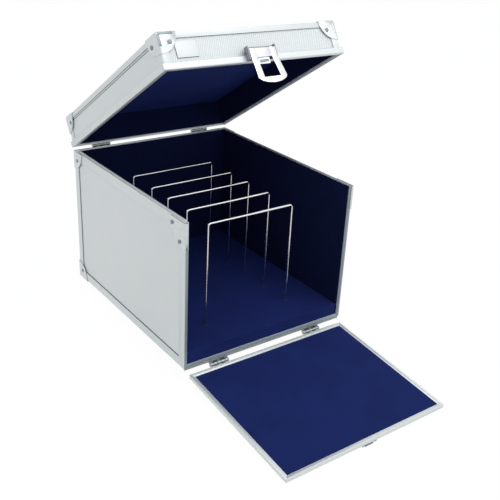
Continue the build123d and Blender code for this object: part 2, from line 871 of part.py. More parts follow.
with BuildPart() as flap_free_rail:
    with BuildSketch(turned_plane((0, flap_outer, flap_top), down_way, back_way)):
        flap_profile()
    extrude(amount=flap_side, both=True)
    mitre((-flap_side, flap_outer, flap_top), right_way, down_way)
    mitre((flap_side, flap_outer, flap_top), left_way, down_way)
    for way in (-1, 1):
        rivet_bore((way * catch_rivet_x, flap_outer, catch_rivet_z), back_way, board_face)
flap_free_open = to_flap(flap_free_rail.part)
flap_free_open.label = "flap_free_rail"
export_step(flap_free_open, "parts/flap_free_rail.step")

flap_velvet_x = flap_side - flap_step - lining_gap
with BuildPart() as flap_lining:
    solid_box(
        (-flap_velvet_x, flap_outer + board_back + lining_gap, under + flap_step + lining_gap),
        (flap_velvet_x, flap_inner - flap_step_drop - velvet_drop, flap_top - flap_step - lining_gap),
    )
flap_lining_open = to_flap(flap_lining.part)
flap_lining_open.label = "flap_lining"
export_step(flap_lining_open, "parts/flap_lining.step")

ledge_high = flap_top - ledge_drop
ledge_low = ledge_high - ledge_thickness
catch_face = flap_outer - leaf_fit - catch_plate
with BuildPart() as flap_catch:
    solid_box(
        (-catch_half_width, catch_face, flap_top - catch_drop - catch_height),
        (catch_half_width, flap_outer - leaf_fit, flap_top - catch_drop),
    )
    solid_box(
        (-ledge_half_width, flap_outer - ledge_out, ledge_low),
        (ledge_half_width, catch_face + sunk, ledge_high),
    )
    for way in (-1, 1):
        solid_box(
            (way * lug_x - lug_half_width, flap_outer - lug_out, ledge_high - lug_height),
            (way * lug_x + lug_half_width, catch_face + sunk, ledge_high),
        )
        rivet_bore((way * catch_rivet_x, catch_face, catch_rivet_z), back_way, 2 * catch_plate)
flap_catch_open = to_flap(flap_catch.part)
flap_catch_open.label = "flap_catch"
export_step(flap_catch_open, "parts/flap_catch.step")

with BuildPart() as flap_rivets:
    for way in (-1, 1):
        rivet(hinge_rivet, (way * catch_rivet_x, catch_face, catch_rivet_z), front_way)
        for offset in (-leaf_screw_x, leaf_screw_x):
            x = way * flap_hinge_x + offset
            rod((x, leaf_screw_y, leaf_low - leaf_screw_head), up_way, leaf_screw_head_radius, leaf_screw_head)
            rod((x, leaf_screw_y, leaf_low), up_way, leaf_screw_radius, leaf_screw_grip)
flap_rivets_open = to_flap(flap_rivets.part)
flap_rivets_open.label = "flap_rivets"
export_step(flap_rivets_open, "parts/flap_rivets.step")

# Hinges of the drop front
with BuildPart() as flap_hinge_body_leaves:
    for way in (-1, 1):
        x = way * flap_hinge_x
        solid_box(
            (x - hinge_width / 2, sill_face - flap_leaf_lead, leaf_low),
            (x + hinge_width / 2, sill_face + flap_leaf_depth, under - leaf_fit),
        )
        tab_front = (sill_face - flap_leaf_lead, flap_pin[2])
        knuckle_boxes(x, body_knuckles, tab_front, (sill_face - flap_leaf_lead + hinge_leaf, under - leaf_fit))
        knuckles(x, flap_pin, flap_knuckle_radius, flap_pin_radius + seated_fit, body_knuckles)
        for offset in (-leaf_hole, leaf_hole):
            rivet_bore((x + offset, sill_face + flap_hole, leaf_low), up_way, hinge_leaf + leaf_fit)
flap_hinge_body_leaves.part.label = "flap_hinge_body_leaves"
export_step(flap_hinge_body_leaves.part, "parts/flap_hinge_body_leaves.step")

with BuildPart() as flap_hinge_flap_leaves:
    for way in (-1, 1):
        x = way * flap_hinge_x
        tab_face = flap_pin[1] - flap_knuckle_radius
        solid_box(
            (x - hinge_width / 2, flap_outer + flap_leaf_margin, leaf_low),
            (x + hinge_width / 2, flap_inner - flap_leaf_inset, under - leaf_fit),
        )
        knuckle_boxes(x, moving_knuckles, (tab_face, flap_pin[2]), (tab_face + hinge_leaf, under - leaf_fit))
        knuckles(x, flap_pin, flap_knuckle_radius, flap_pin_radius + running_fit, moving_knuckles)
        for offset in (-leaf_screw_x, leaf_screw_x):
            bore((x + offset, leaf_screw_y, leaf_low - lead), up_way, screw_hole, hinge_leaf + 2 * lead)
flap_leaves_open = to_flap(flap_hinge_flap_leaves.part)
flap_leaves_open.label = "flap_hinge_flap_leaves"
export_step(flap_leaves_open, "parts/flap_hinge_flap_leaves.step")

with BuildPart() as flap_hinge_pins:
    for way in (-1, 1):
        start = way * flap_hinge_x - hinge_width / 2
        rod((start, flap_pin[1], flap_pin[2]), right_way, flap_pin_radius, hinge_width)
flap_hinge_pins.part.label = "flap_hinge_pins"
export_step(flap_hinge_pins.part, "parts/flap_hinge_pins.step")

# Hinges of the lid
shelf_low = lid_pin[2] - lid_knuckle_radius - shelf_drop
shelf_high = lid_pin[2] + lid_knuckle_radius - knuckle_gap
comb_edge = lid_pin[1] - lid_knuckle_radius - comb_gap
leaf_face = rear + leaf_fit
with BuildPart() as lid_hinge_body_leaves:
    for way in (-1, 1):
        x = way * lid_hinge_x
        near_x = x - hinge_width / 2
        far_x = x + hinge_width / 2
        shelf_top = shelf_low + hinge_leaf
        solid_box((near_x, leaf_face, rim - lid_leaf_low), (far_x, leaf_face + hinge_leaf, shelf_top))
        solid_box((near_x, leaf_face, shelf_low), (far_x, comb_edge, shelf_top))
        knuckle_boxes(x, body_knuckles, (leaf_face, shelf_low), (lid_pin[1], shelf_top))
        knuckles(x, lid_pin, lid_knuckle_radius, lid_pin_radius + seated_fit, body_knuckles)
        for offset in (-leaf_hole, leaf_hole):
            point = (x + offset, leaf_face + hinge_leaf, rim - lid_hole_low)
            rivet_bore(point, front_way, hinge_leaf + leaf_fit)
lid_hinge_body_leaves.part.label = "lid_hinge_body_leaves"
export_step(lid_hinge_body_leaves.part, "parts/lid_hinge_body_leaves.step")

with BuildPart() as lid_hinge_lid_leaves:
    for way in (-1, 1):
        x = way * lid_hinge_x
        near_x = x - hinge_width / 2
        far_x = x + hinge_width / 2
        shelf_top = shelf_high + hinge_leaf
        solid_box((near_x, leaf_face, shelf_high), (far_x, leaf_face + hinge_leaf, rim + lid_leaf_high))
        solid_box((near_x, leaf_face, shelf_high), (far_x, comb_edge, shelf_top))
        knuckle_boxes(x, moving_knuckles, (leaf_face, shelf_high), (lid_pin[1], shelf_top))
        knuckles(x, lid_pin, lid_knuckle_radius, lid_pin_radius + running_fit, moving_knuckles)
        for offset in (-leaf_hole, leaf_hole):
            point = (x + offset, leaf_face + hinge_leaf, rim + lid_hole_high)
            rivet_bore(point, front_way, hinge_leaf + leaf_fit)
lid_leaves_open = to_lid(lid_hinge_lid_leaves.part)
lid_leaves_open.label = "lid_hinge_lid_leaves"
export_step(lid_leaves_open, "parts/lid_hinge_lid_leaves.step")

with BuildPart() as lid_hinge_pins:
    for way in (-1, 1):
        start = way * lid_hinge_x - hinge_width / 2
        rod((start, lid_pin[1], lid_pin[2]), right_way, lid_pin_radius, hinge_width)
lid_hinge_pins.part.label = "lid_hinge_pins"
export_step(lid_hinge_pins.part, "parts/lid_hinge_pins.step")

# Lid boards
lid_low = rim + rim_gap
lid_board_low = lid_low + rim_web + seat_gap
lid_board_top = lid_top - frame_wall - seat_gap
lid_in = lid_side - frame_wall - seat_gap
with BuildPart() as lid_top_board:
    solid_box(
        (-lid_in, front + frame_wall + seat_gap, lid_top - board_back),
        (lid_in, rear - frame_wall - seat_gap, lid_top - board_face),
    )
    for x in (-1, 1):
        for y in (-1, 1):
            point = (x * (lid_side - lid_cap_rivet_u), y * (rear - lid_cap_rivet_u), lid_top)
            rivet_bore(point, down_way, board_hole)
            rivet_bore((x * handle_half_span, y * handle_rivet_y, lid_top), down_way, board_hole)
lid_top_open = to_lid(lid_top_board.part)
lid_top_open.label = "lid_top_board"
export_step(lid_top_open, "parts/lid_top_board.step")

with BuildPart() as lid_front_board:
    solid_box((-lid_in, front + board_face, lid_board_low), (lid_in, front + board_back, lid_board_top))
    for way in (-1, 1):
        rivet_bore((way * (lid_side - lid_cap_rivet_u), front, lid_top - lid_cap_rivet_v), back_way, board_hole)
        rivet_bore((way * latch_rivet_x, front, rim + latch_rivet_up), back_way, board_hole)
lid_front_open = to_lid(lid_front_board.part)
lid_front_open.label = "lid_front_board"
export_step(lid_front_open, "parts/lid_front_board.step")

with BuildPart() as lid_rear_board:
    solid_box((-lid_in, rear - board_back, lid_board_low), (lid_in, rear - board_face, lid_board_top))
    for way in (-1, 1):
        rivet_bore((way * (lid_side - lid_cap_rivet_u), rear, lid_top - lid_cap_rivet_v), front_way, board_hole)
        for offset in (-leaf_hole, leaf_hole):
            rivet_bore((way * lid_hinge_x + offset, rear, rim + lid_hole_high), front_way, board_hole)
lid_rear_open = to_lid(lid_rear_board.part)
lid_rear_open.label = "lid_rear_board"
export_step(lid_rear_open, "parts/lid_rear_board.step")

with BuildPart() as lid_side_boards:
    for way in (-1, 1):
        x1 = way * (lid_side - board_face)
        x2 = way * (lid_side - board_back)
        y1 = front + frame_wall + seat_gap
        solid_box((min(x1, x2), y1, lid_board_low), (max(x1, x2), -y1, lid_board_top))
        for y in (-1, 1):
            point = (way * lid_side, y * (rear - lid_cap_rivet_u), lid_top - lid_cap_rivet_v)
            rivet_bore(point, (-way, 0, 0), board_hole)
lid_sides_open = to_lid(lid_side_boards.part)
lid_sides_open.label = "lid_side_boards"
export_step(lid_sides_open, "parts/lid_side_boards.step")

# Lid extrusions
with BuildPart() as lid_top_cross_rails:
    with BuildSketch(turned_plane((0, front, lid_top), down_way, back_way)):
        corner_profile(lid_top_leg, lid_top_leg)
    extrude(amount=lid_side, both=True)
    mitre((-lid_side, front, lid_top), right_way, down_way)
    mitre((-lid_side, front, lid_top), right_way, back_way)
    mitre((lid_side, front, lid_top), left_way, down_way)
    mitre((lid_side, front, lid_top), left_way, back_way)
    mirror(about=Plane.XZ)
lid_cross_open = to_lid(lid_top_cross_rails.part)
lid_cross_open.label = "lid_top_cross_rails"
export_step(lid_cross_open, "parts/lid_top_cross_rails.step")

with BuildPart() as lid_top_side_rails:
    with BuildSketch(turned_plane((-lid_side, 0, lid_top), down_way, right_way)):
        corner_profile(lid_top_leg, lid_top_leg)
    extrude(amount=rear, both=True)
    mitre((-lid_side, front, lid_top), back_way, down_way)
    mitre((-lid_side, front, lid_top), back_way, right_way)
    mitre((-lid_side, rear, lid_top), front_way, down_way)
    mitre((-lid_side, rear, lid_top), front_way, right_way)
    mirror(about=Plane.YZ)
lid_top_sides_open = to_lid(lid_top_side_rails.part)
lid_top_sides_open.label = "lid_top_side_rails"
export_step(lid_top_sides_open, "parts/lid_top_side_rails.step")

post_low = lid_low + rim_band_height + mitre_gap
rear_post_low = lid_low + rear_leg + mitre_gap
with BuildPart() as lid_posts:
    with BuildSketch(turned_plane((-lid_side, front, lid_top), right_way, back_way)):
        corner_profile(lid_post_leg, lid_post_leg)
    extrude(amount=lid_top - post_low, both=True)
    solid_box(
        (-side - overrun, front - overrun, lid_top - 2 * lid_height),
        (0, 0, post_low),
        mode=Mode.SUBTRACT,
    )
    mitre((-lid_side, front, lid_top), down_way, right_way)
    mitre((-lid_side, front, lid_top), down_way, back_way)
    mirror(about=Plane.XZ)
    solid_box(
        (-side - overrun, rear - skin - post_gap, post_low - lead),
        (0, rear + overrun, rear_post_low),
        mode=Mode.SUBTRACT,
    )
    mirror(about=Plane.YZ)
lid_posts_open = to_lid(lid_posts.part)
lid_posts_open.label = "lid_posts"
export_step(lid_posts_open, "parts/lid_posts.step")

with BuildPart() as lid_front_rim:
    with BuildSketch(turned_plane((0, front, lid_low), up_way, back_way)):
        lid_rim_profile(rim_proud, rim_band_height)
    extrude(amount=side + overrun, both=True)
    mitre((-lid_side, front, lid_low), right_way, back_way)
    mitre((lid_side, front, lid_low), left_way, back_way)
lid_front_rim_open = to_lid(lid_front_rim.part)
lid_front_rim_open.label = "lid_front_rim"
export_step(lid_front_rim_open, "parts/lid_front_rim.step")

with BuildPart() as lid_rear_rim:
    with BuildSketch(turned_plane((0, rear, lid_low), up_way, front_way)):
        lid_rim_profile(0, rear_leg)
    extrude(amount=lid_side, both=True)
    mitre((-lid_side, rear, lid_low), right_way, front_way)
    mitre((lid_side, rear, lid_low), left_way, front_way)
    for way in (-1, 1):
        for offset in (-leaf_hole, leaf_hole):
            rivet_bore((way * lid_hinge_x + offset, rear, rim + lid_hole_high), front_way, board_face)
lid_rear_rim_open = to_lid(lid_rear_rim.part)
lid_rear_rim_open.label = "lid_rear_rim"
export_step(lid_rear_rim_open, "parts/lid_rear_rim.step")

with BuildPart() as lid_side_rims:
    with BuildSketch(turned_plane((-lid_side, 0, lid_low), up_way, right_way)):
        lid_rim_profile(rim_proud, rim_band_height)
    extrude(amount=rear + overrun, both=True)
    solid_box(
        (-side - overrun, rear, lid_low - overrun),
        (side, rear + 2 * overrun, lid_top),
        mode=Mode.SUBTRACT,
    )
    mitre((-lid_side, front, lid_low), back_way, right_way)
    mitre((-lid_side, rear, lid_low), front_way, right_way)
    mirror(about=Plane.YZ)
lid_side_rims_open = to_lid(lid_side_rims.part)
lid_side_rims_open.label = "lid_side_rims"
export_step(lid_side_rims_open, "parts/lid_side_rims.step")

# Lid caps, rivets and velvet
band_face = front - rim_proud - leaf_fit
handle_low = lid_top - board_face + leaf_fit
lid_cap_z = lid_top - lid_cap_rivet_v
lid_cap_corner = (-lid_side, front, lid_top)
lid_cap_shell = corner_cap(lid_cap_corner, lid_cap_corner, (-1, -1, 1), lid_cap_reach)
with BuildPart() as lid_caps:
    add(lid_cap_shell)
    rivet_bore((-lid_side - body_rivet_seat, front + lid_cap_rivet_u, lid_cap_z), right_way, rivet_grip)
    rivet_bore((-lid_side + lid_cap_rivet_u, front - body_rivet_seat, lid_cap_z), back_way, rivet_grip)
    high_hole = (-lid_side + lid_cap_rivet_u, front + lid_cap_rivet_u, lid_top + body_rivet_seat)
    rivet_bore(high_hole, down_way, rivet_grip)
    mirror(about=Plane.XZ)
    mirror(about=Plane.YZ)
lid_caps_open = to_lid(lid_caps.part)
lid_caps_open.label = "lid_caps"
export_step(lid_caps_open, "parts/lid_caps.step")

with BuildPart() as lid_rivets:
    for x in (-1, 1):
        for y in (-1, 1):
            near_x = x * (lid_side - lid_cap_rivet_u)
            near_y = y * (rear - lid_cap_rivet_u)
            rivet(cap_rivet, (x * (lid_side + body_rivet_seat), near_y, lid_cap_z), (x, 0, 0))
            rivet(cap_rivet, (near_x, y * (rear + body_rivet_seat), lid_cap_z), (0, y, 0))
            rivet(cap_rivet, (near_x, near_y, lid_top + body_rivet_seat), up_way)
        for offset in (-leaf_hole, leaf_hole):
            hinge_x = x * lid_hinge_x + offset
            rivet(hinge_rivet, (hinge_x, leaf_face + hinge_leaf, rim + lid_hole_high), back_way)
        rivet(latch_rivet, (x * latch_rivet_x, band_face - base_plate, rim + latch_rivet_up), front_way)
        for y in (-1, 1):
            rivet(hinge_rivet, (x * handle_half_span, y * handle_rivet_y, handle_low + bracket_plate), up_way)
lid_rivets_open = to_lid(lid_rivets.part)
lid_rivets_open.label = "lid_rivets"
export_step(lid_rivets_open, "parts/lid_rivets.step")

lid_inside = lid_side - wall
lid_ceiling = lid_top - frame_wall - lining_gap
lining_low = lid_low + rim_web + board_fit
lining_high = lid_ceiling - lining
with BuildPart() as lid_lining:
    solid_box((-lid_inside, front + wall, lining_high), (lid_inside, rear - wall, lid_ceiling))
    solid_box((-lid_inside, front + wall - lining, lining_low), (lid_inside, front + wall, lining_high))
    solid_box((-lid_inside, rear - wall, lining_low), (lid_inside, rear - wall + lining, lining_high))
    solid_box((-lid_inside - lining, front + wall, lining_low), (-lid_inside, rear - wall, lining_high))
    solid_box((lid_inside, front + wall, lining_low), (lid_inside + lining, rear - wall, lining_high))
lid_lining_open = to_lid(lid_lining.part)
lid_lining_open.label = "lid_lining"
export_step(lid_lining_open, "parts/lid_lining.step")

# Latch on the lid's front
latch_pin = (0, front - latch_pin_ahead, rim + latch_pin_up)
claw_pin_at = (0, front - claw_pin_ahead, rim + claw_pin_up)
with BuildPart() as latch_base:
    solid_box(
        (-base_half_width, band_face - base_plate, rim + base_low),
        (base_half_width, band_face, rim + base_high),
    )
    solid_box(
        (-base_block_half_width, band_face - sunk, rim + base_block_low),
        (base_block_half_width, front + board_face - leaf_fit, rim + base_high),
    )
    for way in (-1, 1):
        outer_x = way * base_half_width
        inner_x = way * (base_half_width - cheek)
        solid_box(
            (min(outer_x, inner_x), front - base_depth, rim + base_low),
            (max(outer_x, inner_x), band_face - sunk, rim + base_high),
        )
        point = (way * latch_rivet_x, band_face - base_plate, rim + latch_rivet_up)
        rivet_bore(point, back_way, latch_rivet_shank)
    across = (-base_half_width - overrun, latch_pin[1], latch_pin[2])
    bore(across, right_way, latch_pin_radius + seated_fit, 2 * (base_half_width + overrun))
latch_base_open = to_lid(latch_base.part)
latch_base_open.label = "latch_base"
export_step(latch_base_open, "parts/latch_base.step")

with BuildPart() as latch_pin_bar:
    start = (-base_half_width - latch_pin_end, latch_pin[1], latch_pin[2])
    rod(start, right_way, latch_pin_radius, 2 * (base_half_width + latch_pin_end))
latch_pin_open = to_lid(latch_pin_bar.part)
latch_pin_open.label = "latch_pin"
export_step(latch_pin_open, "parts/latch_pin.step")

claw_window = ledge_half_width + claw_side_gap
claw_half_width = claw_window + claw_side
claw_lug_x = claw_half_width + claw_lug_gap
lever_back = front - lever_front + lever_plate
foot_corner = (lever_foot_half_width, lever_bottom + lever_foot_rise)
with BuildPart() as latch_lever:
    with BuildSketch(turned_plane((0, lever_back, rim), right_way, up_way)):
        with BuildLine():
            Polyline(
                (-foot_corner[0], foot_corner[1]),
                (-lever_half_width, lever_shoulder),
                (-lever_half_width, lever_top),
                (lever_half_width, lever_top),
                (lever_half_width, lever_shoulder),
                foot_corner,
            )
            ThreePointArc(foot_corner, (0, lever_bottom), (-foot_corner[0], foot_corner[1]))
        make_face()
        with Locations((0, (window_top + window_bottom) / 2)):
            Rectangle(2 * window_half_width, window_top - window_bottom, mode=Mode.SUBTRACT)
    extrude(amount=lever_plate)
    for way in (-1, 1):
        outer_x = way * (lever_half_width - lever_cheek_inset)
        inner_x = way * (lever_half_width - lever_cheek_inset - cheek)
        solid_box(
            (min(outer_x, inner_x), lever_back - sunk, rim + lever_cheek_low),
            (max(outer_x, inner_x), front - lever_cheek_back, rim + lever_top),
        )
        outer_x = way * (claw_lug_x + claw_lug)
        inner_x = way * claw_lug_x
        solid_box(
            (min(outer_x, inner_x), lever_back - sunk, claw_pin_at[2] - claw_lug_half_height),
            (max(outer_x, inner_x), front - claw_lug_back, claw_pin_at[2] + claw_lug_half_height),
        )
    across = (-base_half_width, latch_pin[1], latch_pin[2])
    bore(across, right_way, latch_pin_radius + running_fit, 2 * base_half_width)
    across = (-base_half_width, claw_pin_at[1], claw_pin_at[2])
    bore(across, right_way, claw_pin_radius + seated_fit, 2 * base_half_width)
latch_lever_open = to_lid(latch_lever.part)
latch_lever_open.label = "latch_lever"
export_step(latch_lever_open, "parts/latch_lever.step")

with BuildPart() as claw_pin:
    start = (-claw_lug_x - claw_lug, claw_pin_at[1], claw_pin_at[2])
    rod(start, right_way, claw_pin_radius, 2 * (claw_lug_x + claw_lug))
claw_pin_open = to_lid(claw_pin.part)
claw_pin_open.label = "claw_pin"
export_step(claw_pin_open, "parts/claw_pin.step")

claw_back = front - claw_plate_ahead
claw_front = claw_back - claw_plate
bar_high = ledge_low - claw_bar_gap
bar_low = bar_high - claw_bar
with BuildPart() as latch_claw:
    solid_box((-claw_half_width, claw_front, bar_low), (claw_half_width, claw_back, claw_pin_at[2]))
    solid_box(
        (-claw_window, claw_front - lead, bar_high),
        (claw_window, claw_back + lead, ledge_high + claw_window_gap),
        mode=Mode.SUBTRACT,
    )
    solid_box((-claw_half_width, claw_front, bar_low), (claw_half_width, claw_back + claw_bar_in, bar_high))
    rod((-claw_half_width, claw_pin_at[1], claw_pin_at[2]), right_way, claw_barrel_radius, 2 * claw_half_width)
    across = (-claw_half_width - lead, claw_pin_at[1], claw_pin_at[2])
    bore(across, right_way, claw_pin_radius + running_fit, 2 * (claw_half_width + lead))
latch_claw_open = to_lid(latch_claw.part)
latch_claw_open.label = "latch_claw"
export_step(latch_claw_open, "parts/latch_claw.step")

# Folding handle on the lid
handle_axis_z = handle_low + handle_pin_up
with BuildPart() as handle_brackets:
    for way in (-1, 1):
        x = way * handle_half_span
        solid_box(
            (x - bracket_half_width, -bracket_half_depth, handle_low),
            (x + bracket_half_width, bracket_half_depth, handle_low + bracket_plate),
        )
        rod((x - barrel_half_length, 0, handle_axis_z), right_way, barrel_radius, 2 * barrel_half_length)
        solid_box(
            (x - barrel_half_length, -barrel_radius, handle_low),
            (x + barrel_half_length, barrel_radius, handle_axis_z),
        )
        across = (x - bracket_half_width, 0, handle_axis_z)
        bore(across, right_way, handle_rod_radius + running_fit, 2 * bracket_half_width)
        for offset in (-handle_rivet_y, handle_rivet_y):
            rivet_bore((x, offset, handle_low + bracket_plate), down_way, 2 * bracket_plate)
handle_brackets_open = to_lid(handle_brackets.part)
handle_brackets_open.label = "handle_brackets"
export_step(handle_brackets_open, "parts/handle_brackets.step")

arm_x = handle_half_span - barrel_half_length - arm_gap
end_x = handle_half_span + barrel_half_length + handle_rod_end
with BuildPart() as handle_bail:
    with BuildLine(Plane(origin=(0, 0, handle_axis_z), x_dir=right_way, z_dir=up_way)):
        FilletPolyline(
            (-end_x, 0),
            (-arm_x, 0),
            (-arm_x, handle_reach),
            (arm_x, handle_reach),
            (arm_x, 0),
            (end_x, 0),
            radius=handle_bend,
        )
    with BuildSketch(Plane(origin=(-end_x, 0, handle_axis_z), z_dir=right_way)):
        Circle(handle_rod_radius)
    sweep()
handle_bail_open = to_lid(handle_bail.part)
handle_bail_open.label = "handle_bail"
export_step(handle_bail_open, "parts/handle_bail.step")

with BuildPart() as handle_grip:
    with BuildSketch(Plane(origin=(-arm_x + grip_end_gap, handle_reach, handle_axis_z), z_dir=right_way)):
        Circle(handle_grip_radius)
    extrude(amount=2 * (arm_x - grip_end_gap))
    fillet(handle_grip.edges(), grip_round)
    bore((-arm_x, handle_reach, handle_axis_z), right_way, handle_rod_radius + seated_fit, 2 * arm_x)
handle_grip_open = to_lid(handle_grip.part)
handle_grip_open.label = "handle_grip"
export_step(handle_grip_open, "parts/handle_grip.step")
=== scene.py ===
"""Looks of an aluminium-framed document case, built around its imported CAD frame.

The case stands open: the lid leans back on its hinges and the drop front lies forward.
Every length is in metres. Lid and drop front pieces are drawn in the closed pose, where
they lie square to the axes, and are then turned to rest with the limits of their joints.
"""

import json
import logging
import math
from dataclasses import dataclass
from enum import Enum
from typing import Callable, Iterable

import bmesh
import bpy
from mathutils import Matrix, Vector


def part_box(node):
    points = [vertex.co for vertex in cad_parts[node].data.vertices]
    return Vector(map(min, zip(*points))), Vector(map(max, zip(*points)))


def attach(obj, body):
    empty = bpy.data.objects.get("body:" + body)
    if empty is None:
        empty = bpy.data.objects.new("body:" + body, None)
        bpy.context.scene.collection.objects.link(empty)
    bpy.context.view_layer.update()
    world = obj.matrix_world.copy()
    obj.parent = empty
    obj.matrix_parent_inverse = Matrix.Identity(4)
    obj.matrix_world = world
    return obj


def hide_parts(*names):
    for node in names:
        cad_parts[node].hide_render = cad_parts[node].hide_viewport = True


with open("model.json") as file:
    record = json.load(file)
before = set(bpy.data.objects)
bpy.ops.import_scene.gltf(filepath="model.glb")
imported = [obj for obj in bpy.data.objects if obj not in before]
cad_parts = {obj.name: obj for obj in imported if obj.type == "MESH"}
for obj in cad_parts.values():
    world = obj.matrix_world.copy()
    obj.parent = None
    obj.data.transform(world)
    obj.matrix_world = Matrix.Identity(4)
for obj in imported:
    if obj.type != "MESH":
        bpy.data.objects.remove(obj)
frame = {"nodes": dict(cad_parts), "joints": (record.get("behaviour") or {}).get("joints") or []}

Tree = bpy.types.NodeTree
Node = bpy.types.Node
Socket = bpy.types.NodeSocket
Mesh = bpy.types.Mesh
Piece = bpy.types.Object
Material = bpy.types.Material
Span = tuple[float, float]

LOG = logging.getLogger("document_case")
MM = 0.001
FULL_RELIEF = 0.4 * MM  # the depth at which the attribute "relief" falls from one to zero
SHEET_DEPTH = 0.12  # how deeply most boards' diamonds are rolled, in millimetres
ROUNDED_ANGLE = math.radians(38)  # edges that turn by more than this are rounded
FLAT_ANGLE = math.radians(0.4)  # edges that turn by less than this are left out
# Widths of the rounded edges, in millimetres.
RAIL_EDGE, CAP_EDGE, LEAF_EDGE, STRIP_EDGE = 0.25, 0.3, 0.12, 0.12
LATCH_EDGE, PLATE_EDGE, LINE_EDGE, APRON_EDGE = 0.15, 0.2, 0.08, 0.4


# --- Small tools -------------------------------------------------------------


def linear(hex_colour: str) -> tuple[float, float, float, float]:
    """Turns an sRGB hex colour into linear light.

    Args:
        hex_colour: Six hex digits, such as "C9CED0".

    Returns:
        Red, green, blue and an alpha of one.
    """
    parts = [int(hex_colour[i : i + 2], 16) / 255 for i in (0, 2, 4)]
    light = [c / 12.92 if c <= 0.04045 else ((c + 0.055) / 1.055) ** 2.4 for c in parts]
    return (light[0], light[1], light[2], 1.0)


def add_node(tree: Tree, kind: str, inputs: dict | None = None) -> Node:
    """Adds a node with its settings and links.

    Args:
        tree: The tree that gets the node.
        kind: Blender's name of the node type.
        inputs: Attribute names, or names or indices of input sockets, with their values
            or with the output sockets that feed them.

    Returns:
        The new node.
    """
    node = tree.nodes.new(kind)
    for key, value in (inputs or {}).items():
        if isinstance(value, Socket):
            tree.links.new(value, node.inputs[key])
        elif isinstance(key, str) and hasattr(node, key):
            setattr(node, key, value)
        else:
            node.inputs[key].default_value = value
    return node


def new_piece(name: str, mesh: Mesh) -> Piece:
    """Puts a mesh in the scene as an object at the origin.

    Args:
        name: The object's name.
        mesh: Its mesh.

    Returns:
        The object.
    """
    mesh.name = name
    piece = bpy.data.objects.new(name, mesh)
    bpy.context.scene.collection.objects.link(piece)
    return piece


def mesh_from(name: str, shape: bmesh.types.BMesh) -> Mesh:
    """Turns a working shape into a mesh and frees it.

    Args:
        name: The mesh's name.
        shape: The shape.

    Returns:
        The mesh.
    """
    mesh = bpy.data.meshes.new(name)
    shape.to_mesh(mesh)
    shape.free()
    return mesh


def finished_mesh(piece: Piece) -> Mesh:
    """Bakes a piece's modifiers into a plain mesh and removes them.

    Args:
        piece: The piece.

    Returns:
        Its new mesh.
    """
    depsgraph = bpy.context.evaluated_depsgraph_get()
    mesh = bpy.data.meshes.new_from_object(piece.evaluated_get(depsgraph), depsgraph=depsgraph)
    piece.modifiers.clear()
    piece.data = mesh
    return mesh


def smooth(mesh: Mesh) -> None:
    """Shades every face of a mesh smooth."""
    mesh.polygons.foreach_set("use_smooth", [True] * len(mesh.polygons))


def rounded(
    name: str, mesh: Mesh, finish: Material, edge_mm: float, segments: int = 3, sharp: float = 32.0
) -> Piece:
    """Rounds a mesh's sharp edges and gives it a finish.

    Args:
        name: The piece's name.
        mesh: The sharp mesh.
        finish: Its material.
        edge_mm: The width of the rounding in millimetres.
        segments: How many faces each rounding has.
        sharp: Edges that still turn by more than this many degrees are shaded sharp.

    Returns:
        The piece.
    """
    piece = new_piece(name, mesh)
    mesh.materials.append(finish)
    bevel = piece.modifiers.new("rounding", "BEVEL")
    bevel.width = edge_mm * MM
    bevel.segments = segments
    bevel.limit_method = "ANGLE"
    bevel.angle_limit = ROUNDED_ANGLE
    smooth(finished_mesh(piece))
    piece.data.set_sharp_from_angle(angle=math.radians(sharp))
    return piece


# --- Places ------------------------------------------------------------------


class Body(Enum):
    """The bodies of the CAD frame that pieces ride on."""

    CASE = "case_body"
    FRONT = "drop_front"
    LID = "lid"
    LEVER = "latch_lever"
    CLAW = "latch_claw"


def turn_from_closed(joint_name: str) -> Matrix:
    """Works out the turn that takes a panel from closed into its rest pose.

    Args:
        joint_name: The hinge whose lower limit is the closed pose.

    Returns:
        A matrix in the row frame.
    """
    joint = next(j for j in frame["joints"] if j["name"] == joint_name)
    pin = Vector(joint["pos_m"])
    angle = -math.radians(joint["range_deg"][0])
    turn = Matrix.Rotation(angle, 4, Vector(joint["axis"]))
    return Matrix.Translation(pin) @ turn @ Matrix.Translation(-pin)


LID_TURN = turn_from_closed("lid_hinge")
TURNS = {
    Body.CASE: Matrix.Identity(4),
    Body.FRONT: turn_from_closed("flap_hinge"),
    Body.LID: LID_TURN,
    Body.LEVER: LID_TURN,
    Body.CLAW: LID_TURN,
}


class Facing(Enum):
    """Which way a face looks in the closed pose."""

    LEFT = (-1, 0, 0)
    RIGHT = (1, 0, 0)
    FRONT = (0, -1, 0)
    BACK = (0, 1, 0)
    UP = (0, 0, 1)
    DOWN = (0, 0, -1)


@dataclass(frozen=True)
class Box:
    """A box in the closed pose, square to the axes."""

    low: Vector
    high: Vector

    @classmethod
    def over(cls, x: Span, y: Span, z: Span) -> "Box":
        """Makes a box from its two ends along each axis, given in any order."""
        ends = (x, y, z)
        return cls(Vector([min(e) for e in ends]), Vector([max(e) for e in ends]))

    @classmethod
    def round(cls, points: Iterable[Vector]) -> "Box":
        """Makes the box that just holds some points."""
        return cls.over(*((min(row), max(row)) for row in zip(*points)))

    @property
    def size(self) -> Vector:
        """The box's three side lengths."""
        return self.high - self.low

    @property
    def middle(self) -> Vector:
        """The box's centre."""
        return (self.high + self.low) / 2


